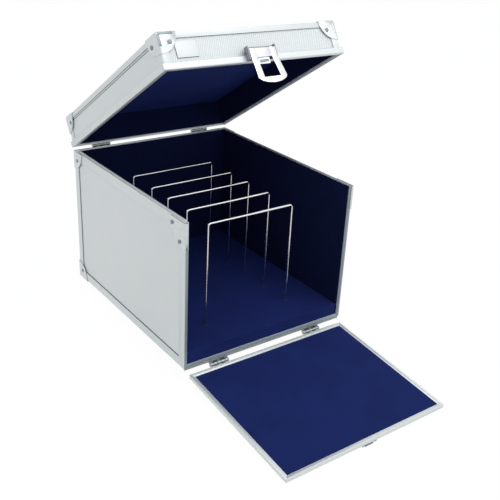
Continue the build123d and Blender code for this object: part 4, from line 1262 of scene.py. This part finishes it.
    def rivets(self, node: str) -> None:
        """Sets domed rivet heads where a CAD node has its rivets, which they stand for."""
        spots = [RivetSpot.of(island) for island in island_vertices(node, self.body)]
        self.heads(node + "_heads", spots, self.look.rivet, "fastener_steel", [node])

    def painted(self, node: str, finish: Material, slot: str) -> None:
        """Gives a CAD node that keeps its own mesh a finish.

        Args:
            node: The node's name.
            finish: Its material.
            slot: The record's material slot. It is not used.
        """
        part = frame["nodes"][node]
        part.data.materials.clear()
        part.data.materials.append(finish)
        LOG.info("%s keeps its solid", node)


# --- The case ----------------------------------------------------------------


@dataclass(frozen=True)
class CaseBody:
    """The open box: boards, rails, linings, deck, feet, caps and its halves of the hinges."""

    bench: Bench
    side_depth_mm: float = 0.07
    strip_width: float = 0.9 * MM
    strip_proud: float = 0.2 * MM
    strip_sunk: float = 0.1 * MM
    strip_front: float = -128.0 * MM
    strip_top: float = 182.0 * MM
    apron_y: Span = (-139.7 * MM, -138.5 * MM)
    apron_drop: float = 2.4 * MM
    apron_lap: float = 0.2 * MM
    apron_inset: float = 0.3 * MM
    web_y: Span = (-139.3 * MM, -138.6 * MM)
    web_width: float = 26.0 * MM
    web_rise: float = 2.6 * MM
    pile: float = 0.85 * MM
    pile_overlap: float = 0.4  # how much of the deck's pile the front edge's pile reaches into

    def build(self) -> None:
        """Makes every piece of the body."""
        bench, look = self.bench, self.bench.look
        left, right = closed_boxes("body_side_boards", bench.body)
        depth = self.side_depth_mm
        bench.board("body_left_sheet", left, Facing.LEFT, ["body_side_boards"], depth)
        bench.board("body_right_sheet", right, Facing.RIGHT, (), depth)
        for side, facing in (("rear", Facing.BACK), ("floor", Facing.DOWN)):
            node = f"body_{side}_board"
            bench.board(f"body_{side}_sheet", bench.box(node), facing, [node])
        bench.dressed("bottom_side_rails", look.rail_y)
        # Painted shade: the right rim's upper faces take the darkest copy of the metal.
        bench.dressed("top_side_rims", look.rail_y, shade=Shade(look.painted_deep_shade_y, Facing.UP, 0.0))
        bench.dressed("bottom_rear_rail", look.rail_x)
        # Painted shade: the sill's front faces take the slate-grey copy of the metal.
        bench.dressed("front_sill", look.rail_x, shade=Shade(look.painted_shade_x, Facing.FRONT))
        # Painted shade: the rear rim's upper faces take the darkest copy of the metal.
        bench.dressed("top_rear_rim", look.rail_x, shade=Shade(look.painted_deep_shade_x, Facing.UP))
        bench.dressed("rear_posts", look.rail_z)
        # Painted shade: the uprights' front faces take the slate-grey copy of the metal.
        bench.dressed("front_uprights", look.rail_z, shade=Shade(look.painted_shade_z, Facing.FRONT))
        for node in ("front_caps", "rear_caps"):
            bench.dressed(node, look.cap, "corner_steel", CAP_EDGE)
        for node in ("flap_hinge_body_leaves", "lid_hinge_body_leaves"):
            bench.dressed(node, look.hinge, "hinge_steel", LEAF_EDGE)
        bench.painted("flap_hinge_pins", look.hinge, "hinge_steel")
        bench.painted("lid_hinge_pins", look.hinge, "hinge_steel")
        bench.rivets("body_rivets")
        bench.painted("foot_screws", look.rivet, "fastener_steel")
        bench.painted("feet", look.rubber, "foot_rubber")
        bench.painted("floor_deck", look.fibre, "deck_board")
        bench.painted("deck_battens", look.fibre, "deck_board")
        self.shade_grooves(left, right)
        self.fill()
        self.line()

    def shade_grooves(self, left: Box, right: Box) -> None:
        """Lays dark strips between rails and boards: painted shade for the shadow in the groove.

        Args:
            left: The left board's box.
            right: The right board's box.
        """
        top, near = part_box("bottom_side_rails")[1].z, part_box("rear_posts")[0].y
        wide, sunk = self.strip_width, self.strip_sunk
        boxes = []
        for face, way in ((left.low.x, -1), (right.high.x, 1)):
            x = (face - way * sunk, face + way * self.strip_proud)
            boxes.append(Box.over(x, (self.strip_front, near - sunk), (top, top + wide)))
            boxes.append(Box.over(x, (near - wide, near), (top, self.strip_top)))
        self.bench.bars("body_sealing_strips", boxes, self.bench.look.gap, "foot_rubber")

    def fill(self) -> None:
        """Closes the gap under the sill with an apron, and backs the front hinges."""
        bench, look = self.bench, self.bench.look
        low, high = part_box("front_sill")
        lip = Box.over(
            (low.x + self.apron_inset, high.x - self.apron_inset),
            self.apron_y,
            (low.z - self.apron_drop, low.z + self.apron_lap),
        )
        # Painted shade: the apron takes the slate-grey copy of the metal.
        bench.bars("sill_apron", [lip], look.painted_shade_x, "extrusion", APRON_EDGE)
        low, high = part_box("flap_hinge_body_leaves")
        ends = ((low.x, low.x + self.web_width), (high.x - self.web_width, high.x))
        webs = [Box.over(x, self.web_y, (low.z + self.web_rise, high.z)) for x in ends]
        bench.bars("front_hinge_webs", webs, look.hinge, "hinge_steel")

    def line(self) -> None:
        """Lays the velvet on the walls and the raised floor."""
        bench, pile = self.bench, self.pile
        left, right = closed_boxes("body_side_linings", bench.body)
        bench.velvet("body_left_velvet", left, Facing.RIGHT, ["body_side_linings"], 1.0)
        bench.velvet("body_right_velvet", right, Facing.LEFT, (), 2.0)
        rear = bench.box("body_rear_lining")
        bench.velvet("body_rear_velvet", rear, Facing.FRONT, ["body_rear_lining"], 3.0)
        low, high = bench.box("deck_lining").low, bench.box("deck_lining").high
        top = Box.over((low.x, high.x), (low.y, high.y), (high.z - pile, high.z))
        lip = high.z - pile * (1 - self.pile_overlap)
        drop = Box.over((low.x, high.x), (low.y, low.y + pile), (low.z, lip))
        bench.velvet("deck_velvet", top, Facing.UP, ["deck_lining"], 4.0, wall=False)
        bench.velvet("deck_front_velvet", drop, Facing.FRONT, (), 5.0, wall=False)


@dataclass(frozen=True)
class DropFront:
    """The front panel that lies open on its hinges."""

    bench: Bench
    leaf_edge_mm: float = LEAF_EDGE
    catch_edge_mm: float = LATCH_EDGE

    def build(self) -> None:
        """Makes every piece of the drop front."""
        bench, look = self.bench, self.bench.look
        bench.board("flap_sheet", bench.box("flap_board"), Facing.FRONT, ["flap_board"])
        lining = bench.box("flap_lining")
        bench.velvet("flap_velvet", lining, Facing.BACK, ["flap_lining"], 6.0, wall=False)
        bench.dressed("flap_side_rails", look.rail_y)
        bench.dressed("flap_hinge_rail", look.rail_x)
        bench.dressed("flap_free_rail", look.rail_x)
        bench.dressed("flap_hinge_flap_leaves", look.hinge, "hinge_steel", self.leaf_edge_mm)
        # Painted shade: the catch's darker zinc stands for the shade under the frame's edge.
        bench.dressed("flap_catch", look.shaded_catch, "bright_steel", self.catch_edge_mm)
        bench.rivets("flap_rivets")


@dataclass(frozen=True)
class Band:
    """A stamped band on a front cap, measured from the cap's outer side and its top."""

    start: float
    end: float
    foot: float
    head: float


@dataclass(frozen=True)
class Lid:
    """The deep lid that leans back on its hinges."""

    bench: Bench
    side_depth_mm: float = 0.07
    front_depth_mm: float = 0.24
    strip_width: float = 0.6 * MM
    strip_proud: float = 0.15 * MM
    sunk: float = 0.1 * MM
    strip_y: Span = (-129.0 * MM, 129.0 * MM)
    label_x: Span = (-100.5 * MM, -74.7 * MM)
    label_z: Span = (207.5 * MM, 225.0 * MM)
    label_proud: float = 0.35 * MM
    label_shadow: float = 0.5 * MM
    bands: tuple[Band, ...] = (
        Band(2.0 * MM, 20.0 * MM, 3.9 * MM, 1.1 * MM),
        Band(1.2 * MM, 4.3 * MM, 16.0 * MM, 3.0 * MM),
    )
    band_proud: float = 0.3 * MM
    band_sunk: float = 0.2 * MM
    pile: float = 0.85 * MM
    wall_gap: float = 0.1 * MM

    def build(self) -> None:
        """Makes every piece of the lid."""
        bench, look = self.bench, self.bench.look
        for side, facing, depth in (
            ("top", Facing.UP, SHEET_DEPTH),
            ("front", Facing.FRONT, self.front_depth_mm),
            ("rear", Facing.BACK, SHEET_DEPTH),
        ):
            node = f"lid_{side}_board"
            bench.board(f"lid_{side}_sheet", bench.box(node), facing, [node], depth)
        left, right = closed_boxes("lid_side_boards", bench.body)
        bench.board("lid_left_sheet", left, Facing.LEFT, ["lid_side_boards"], self.side_depth_mm)
        bench.board("lid_right_sheet", right, Facing.RIGHT, (), self.side_depth_mm)
        # Painted shade: the rails' undersides and the right rim's underside take the darkest copy
        # of the metal.
        painted_deep_shade_x, painted_deep_shade_y = Shade(look.painted_deep_shade_x, Facing.DOWN), Shade(look.painted_deep_shade_y, Facing.DOWN)
        bench.dressed("lid_top_side_rails", look.rail_y, shade=painted_deep_shade_y)
        bench.dressed("lid_posts", look.rail_z)
        bench.dressed("lid_top_cross_rails", look.rail_x, shade=painted_deep_shade_x)
        bench.dressed("lid_side_rims", look.rail_y, shade=Shade(look.painted_deep_shade_y, Facing.DOWN, 0.0))
        bench.dressed("lid_front_rim", look.rail_x)
        bench.dressed("lid_rear_rim", look.rail_x)
        bench.dressed("lid_caps", look.cap, "corner_steel", CAP_EDGE)
        bench.dressed("lid_hinge_lid_leaves", look.hinge, "hinge_steel", LEAF_EDGE)
        bench.rivets("lid_rivets")
        self.trim(left, right)
        self.stamp()
        self.line()

    def trim(self, left: Box, right: Box) -> None:
        """Adds dark strips under the side rails as painted shade, the bare label plate and its
        painted shadow.

        Args:
            left: The left board's box.
            right: The right board's box.
        """
        bench, look = self.bench, self.bench.look
        under = closed_box("lid_top_side_rails", bench.body).low.z
        boxes = []
        for face, way in ((left.low.x, -1), (right.high.x, 1)):
            x = (face - way * self.sunk, face + way * self.strip_proud)
            boxes.append(Box.over(x, self.strip_y, (under - self.strip_width, under)))
        bench.bars("lid_sealing_strips", boxes, look.gap, "foot_rubber")
        face = bench.box("lid_front_board").low.y
        y = (face - self.label_proud, face + self.sunk)
        plate = Box.over(self.label_x, y, self.label_z)
        bench.bars("lid_label_plate", [plate], look.label, "extrusion")
        edge_y = (plate.low.y + self.strip_proud / 2, plate.high.y)
        (x0, x1), (z0, z1) = self.label_x, self.label_z
        # Painted shadow: dark lines along the plate's left and bottom edges.
        edges = [
            Box.over((x0 - self.label_shadow, x0), edge_y, (z0 - self.label_shadow, z1)),
            Box.over((x0 - self.label_shadow, x1), edge_y, (z0 - self.label_shadow, z0)),
        ]
        bench.bars("lid_label_edge", edges, look.gap, "foot_rubber", LINE_EDGE)

    def stamp(self) -> None:
        """Adds the stamped bands of the two front caps."""
        bench, look = self.bench, self.bench.look
        caps = [box for box in closed_boxes("lid_caps", bench.body) if box.middle.y < 0]
        for cap in caps:
            on_left = cap.middle.x < 0
            way, outer = (1, cap.low.x) if on_left else (-1, cap.high.x)
            top, y = cap.high.z, (cap.low.y - self.band_proud, cap.low.y + self.band_sunk)
            boxes = [
                Box.over(
                    (outer + way * band.start, outer + way * band.end),
                    y,
                    (top - band.foot, top - band.head),
                )
                for band in self.bands
            ]
            # Painted reflection: the left cap's bands take the darker steel, the right ones the
            # cap's own finish.
            name, finish = ("left", look.band) if on_left else ("right", look.cap)
            bench.bars("lid_cap_bands_" + name, boxes, finish, "corner_steel", PLATE_EDGE)

    def line(self) -> None:
        """Lays the velvet on the ceiling and the four walls."""
        bench, pile = self.bench, self.pile
        whole = bench.box("lid_lining")
        low, high = whole.low, whole.high
        x, y, z = (low.x, high.x), (low.y, high.y), (low.z, high.z - self.wall_gap)
        between = (low.y + pile, high.y - pile)
        ceiling = Box.over(x, y, (high.z - pile, high.z))
        bench.velvet("lid_ceiling_velvet", ceiling, Facing.DOWN, ["lid_lining"], 7.0, wall=False)
        walls = (
            ("front", Box.over(x, (low.y, low.y + pile), z), Facing.BACK),
            ("rear", Box.over(x, (high.y - pile, high.y), z), Facing.FRONT),
            ("left", Box.over((low.x, low.x + pile), between, z), Facing.RIGHT),
            ("right", Box.over((high.x - pile, high.x), between, z), Facing.LEFT),
        )
        for seed, (side, box, facing) in enumerate(walls, start=8):
            bench.velvet(f"lid_{side}_velvet", box, facing, (), float(seed))


@dataclass(frozen=True)
class PullLever:
    """The latch's lever: a flared frame with a window, two cheeks and a pale web.

    Its heights are measured from the lid's lower rim.
    """

    bench: Bench
    rim: float = 194.5 * MM
    front: float = -150.9 * MM
    back: float = -149.5 * MM
    top: float = 12.8 * MM
    kink: float = 3.8 * MM
    corner: float = -20.6 * MM
    tip: float = -28.4 * MM
    half: float = 17.2 * MM
    flare: float = 19.0 * MM
    lean: float = 0.21
    arc_steps: int = 24
    window_half: float = 10.0 * MM
    window_flare: float = 11.0 * MM
    window_foot: float = -21.4 * MM
    edge_mm: float = 0.35
    cheek_x: Span = (15.4 * MM, 16.4 * MM)
    cheek_y: Span = (-149.6 * MM, -146.2 * MM)
    cheek_z: Span = (3.5 * MM, 12.6 * MM)
    web_half: float = 10.1 * MM
    web_y: Span = (-150.65 * MM, -150.05 * MM)
    web_foot: float = 2.4 * MM

    def outline(self) -> list[Span]:
        """The frame's outline, open at the top, as places across and heights.

        Returns:
            The corners in order.
        """
        drop = self.corner - self.tip
        turns = [math.pi * i / self.arc_steps for i in range(1, self.arc_steps)]
        arc = [(self.flare * math.cos(a), self.corner - drop * math.sin(a)) for a in turns]
        right = [(self.half, self.top), (self.half, self.kink), (self.flare, self.corner)]
        left = [(-x, height) for x, height in reversed(right)]
        inner = [
            (self.window_flare, self.window_foot),
            (self.window_half, self.kink),
            (self.window_half, self.top),
        ]
        return [*right, *arc, *left, *((-x, height) for x, height in reversed(inner)), *inner]

    def build(self) -> None:
        """Makes the lever's pieces."""
        shape = bmesh.new()
        places = [(x, self.front, self.rim + height) for x, height in self.outline()]
        face = shape.faces.new([shape.verts.new(place) for place in places])
        pulled = bmesh.ops.extrude_face_region(shape, geom=[face])["geom"]
        moved = [v for v in pulled if isinstance(v, bmesh.types.BMVert)]
        bmesh.ops.translate(shape, vec=(0, self.back - self.front, 0), verts=moved)
        bmesh.ops.recalc_face_normals(shape, faces=shape.faces)
        bmesh.ops.triangulate(shape, faces=[f for f in shape.faces if len(f.verts) > 4])
        for vertex in shape.verts:
            vertex.co.y -= max(0.0, self.rim + self.kink - vertex.co.z) * self.lean
        bench, look = self.bench, self.bench.look
        mesh = mesh_from("latch_lever_frame", shape)
        piece = rounded("latch_lever_frame", mesh, look.bright, self.edge_mm)
        bench.seat(piece, "bright_steel", ["latch_lever"])
        foot, head = self.cheek_z
        cheeks = [
            Box.over(x, self.cheek_y, (self.rim + foot, self.rim + head))
            for x in (tuple(-v for v in self.cheek_x), self.cheek_x)
        ]
        bench.bars("latch_lever_cheeks", cheeks, look.bright, "bright_steel", CAP_EDGE)
        reach = (self.rim + self.web_foot, self.rim + self.top)
        web = Box.over((-self.web_half, self.web_half), self.web_y, reach)
        # Painted reflection: the web's faint lilac stands for a mirrored bright sky.
        bench.bars("latch_lever_web", [web], look.web, "bright_steel", PLATE_EDGE)


@dataclass(frozen=True)
class LatchAndHandle:
    """The latch on the lid's front and the folding handle on its top."""

    lid: Bench
    lever: Bench
    claw: Bench
    knurl_length: float = 5.6 * MM
    knurl_width: float = 12.4 * MM
    knurl_from_front: float = 4.2 * MM
    stud_height: float = 0.9 * MM
    stud_radius: float = 0.85 * MM
    studs_along: int = 3
    studs_across: int = 5

    def build(self) -> None:
        """Makes every piece of the latch and the handle."""
        lid, look = self.lid, self.lid.look
        lid.dressed("latch_base", look.base, "latch_base_steel", LATCH_EDGE)
        PullLever(self.lever).build()
        self.knurl()
        self.claw.dressed("latch_claw", look.bright, "bright_steel", LEAF_EDGE)
        lid.painted("latch_pin", look.hinge, "hinge_steel")
        lid.painted("claw_pin", look.hinge, "hinge_steel")
        lid.dressed("handle_brackets", look.bright, "bright_steel")
        lid.painted("handle_bail", look.bright, "bright_steel")
        lid.painted("handle_grip", look.grip, "grip_plastic")

    def knurl(self) -> None:
        """Covers the base's two outer cheeks with small studs.

        The real knurl is finer. These studs are as coarse as they need to be to show.
        """
        base = closed_box("latch_base", self.lid.body)
        inputs = {
            "Finish": self.lid.look.band,
            "Length": self.knurl_length,
            "Width": self.knurl_width,
            "Height": self.stud_height,
            "Radius": self.stud_radius,
            "Along": self.studs_along,
            "Across": self.studs_across,
        }
        y = base.low.y + self.knurl_from_front
        for side, x, facing in (
            ("left", base.low.x, Facing.LEFT),
            ("right", base.high.x, Facing.RIGHT),
        ):
            name = "latch_knurl_" + side
            piece = new_piece(name, bpy.data.meshes.new(name))
            middle = Vector((x, y, base.middle.z))
            spot = SlabSpot(Box(middle, middle), facing)
            grow(piece, self.lid.shop.studs, inputs).transform(spot.matrix())
            self.lid.seat(piece, "latch_base_steel")


@dataclass(frozen=True)
class Dividers:
    """The five wire hoops that stand in the raised floor, with a dark collar round each foot."""

    bench: Bench
    wire: float = 2.5 * MM
    collar_radius: float = 2.2 * MM
    collar_height: float = 0.3 * MM

    def build(self) -> None:
        """Gives the hoops their finish and sets the collars."""
        bench, look = self.bench, self.bench.look
        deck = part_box("deck_lining")[1].z
        feet = []
        for node in sorted(n for n in frame["nodes"] if n.startswith("divider_")):
            bench.painted(node, look.wire, "divider_wire")
            low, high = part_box(node)
            for x in (low.x + self.wire / 2, high.x - self.wire / 2):
                feet.append(Vector((x, (low.y + high.y) / 2, deck)))
        up = Vector(Facing.UP.value)
        spots = [RivetSpot(foot, up, self.collar_radius, self.collar_height) for foot in feet]
        bench.heads("divider_collars", spots, look.collar, "foot_rubber")


# --- The studio --------------------------------------------------------------


@dataclass(frozen=True)
class Lamp:
    """A soft square lamp."""

    name: str
    place: tuple[float, float, float]
    aim: tuple[float, float, float]
    side: float
    watts: float

    def hang(self) -> None:
        """Adds the lamp to the scene."""
        data = bpy.data.lights.new(self.name, "AREA")
        data.size = self.side
        data.energy = self.watts
        lamp = bpy.data.objects.new(self.name, data)
        bpy.context.scene.collection.objects.link(lamp)
        place = Vector(self.place)
        turn = (Vector(self.aim) - place).to_track_quat("-Z", "Y").to_matrix().to_4x4()
        lamp.matrix_world = Matrix.Translation(place) @ turn


@dataclass(frozen=True)
class Studio:
    """Plain pale floor, soft light and the camera at the photograph's angle."""

    eye: tuple[float, float, float] = (-0.5116, -0.7765, 0.5153)
    right: tuple[float, float, float] = (0.81109, -0.58302, 0.04716)
    up: tuple[float, float, float] = (0.21285, 0.36928, 0.90461)
    back: tuple[float, float, float] = (-0.54482, -0.72368, 0.42362)
    lens_mm: float = 55.25
    floor_size: float = 8.0
    floor_drop: float = 0.4 * MM
    floor_share: float = 0.93
    floor_glow: float = 1.03
    sky_light: float = 0.66
    lamps: tuple[Lamp, ...] = (
        Lamp("overhead", (0.15, -0.55, 1.35), (0.0, -0.15, 0.1), 1.1, 6.0),
        Lamp("front_right", (0.9, -1.3, 0.9), (0.0, -0.1, 0.12), 0.8, 1.5),
    )

    def camera(self) -> None:
        """Creates the camera where the photograph was taken from."""
        lens = bpy.data.cameras.new("camera")
        lens.lens = self.lens_mm
        lens.sensor_width = 36.0
        lens.clip_start, lens.clip_end = 0.01, 50.0
        camera = bpy.data.objects.new("camera", lens)
        bpy.context.scene.collection.objects.link(camera)
        axes = Matrix((Vector(self.right), Vector(self.up), Vector(self.back)))
        place = Matrix.Translation(Vector(self.eye))
        camera.matrix_world = place @ axes.transposed().to_4x4()
        bpy.context.scene.camera = camera

    def seen(self, tree: Tree) -> Number:
        """Tells the rays that show the backdrop itself from those that only light the case.

        Args:
            tree: The backdrop's tree.

        Returns:
            One for the camera's rays and for mirrored or passing ones, else zero.
        """
        ray = numbers(add_node(tree, "ShaderNodeLightPath"))
        direct = ray["Is Camera Ray"].step("MAXIMUM", ray["Is Glossy Ray"])
        return direct.step("MAXIMUM", ray["Is Transmission Ray"])

    def floor(self) -> None:
        """Lays the floor under the rear feet and the end of the drop front."""
        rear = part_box("feet")[1]
        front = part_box("flap_catch")[0]
        slope = math.atan2(-front.z, rear.y - front.y)
        shape = bmesh.new()
        bmesh.ops.create_grid(shape, x_segments=1, y_segments=1, size=self.floor_size / 2)
        mesh = mesh_from("floor", shape)
        under = Matrix.Translation((0, rear.y, -self.floor_drop))
        mesh.transform(under @ Matrix.Rotation(slope, 4, "X"))
        floor = new_piece("floor", mesh)
        # Studio paper: it glows white to the camera and lights the case softly from below.
        material = bpy.data.materials.new("pale_studio_floor")
        material.use_nodes = True
        tree = material.node_tree
        tree.nodes.clear()
        share = self.seen(tree) * self.floor_share
        plain = add_node(tree, "ShaderNodeBsdfDiffuse", {"Color": linear("EFEFEF")})
        white = {"Color": linear("FFFFFF"), "Strength": self.floor_glow}
        glow = add_node(tree, "ShaderNodeEmission", white)
        both = {0: share.socket, 1: plain.outputs[0], 2: glow.outputs[0]}
        mix = add_node(tree, "ShaderNodeMixShader", both)
        add_node(tree, "ShaderNodeOutputMaterial", {"Surface": mix.outputs[0]})
        mesh.materials.append(material)

    def light(self) -> None:
        """Lights the case softly from above and in front."""
        world = bpy.data.worlds.new("studio")
        bpy.context.scene.world = world
        world.use_nodes = True
        tree = world.node_tree
        tree.nodes.clear()
        sky = {"Color": linear("F3F7FA"), "Strength": self.sky_light}
        soft = add_node(tree, "ShaderNodeBackground", sky)
        white = {"Color": linear("FFFFFF"), "Strength": 1.0}
        wall = add_node(tree, "ShaderNodeBackground", white)
        both = {0: self.seen(tree).socket, 1: soft.outputs[0], 2: wall.outputs[0]}
        mix = add_node(tree, "ShaderNodeMixShader", both)
        add_node(tree, "ShaderNodeOutputWorld", {"Surface": mix.outputs[0]})
        for lamp in self.lamps:
            lamp.hang()

    def build(self) -> None:
        """Sets up the whole studio."""
        bpy.context.scene.view_settings.view_transform = "Standard"
        self.floor()
        self.light()
        self.camera()


def main() -> None:
    """Builds the case piece by piece, then the studio round it."""
    logging.basicConfig(level=logging.INFO, format="%(message)s")
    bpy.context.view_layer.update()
    shop = Workshop(Finishes())
    bench = {body: Bench(shop, body) for body in Body}
    for part in (
        CaseBody(bench[Body.CASE]),
        DropFront(bench[Body.FRONT]),
        Lid(bench[Body.LID]),
        LatchAndHandle(bench[Body.LID], bench[Body.LEVER], bench[Body.CLAW]),
        Dividers(bench[Body.CASE]),
    ):
        part.build()
        LOG.info("%s is done", type(part).__name__)
    Studio().build()


if __name__ == "__main__":
    main()
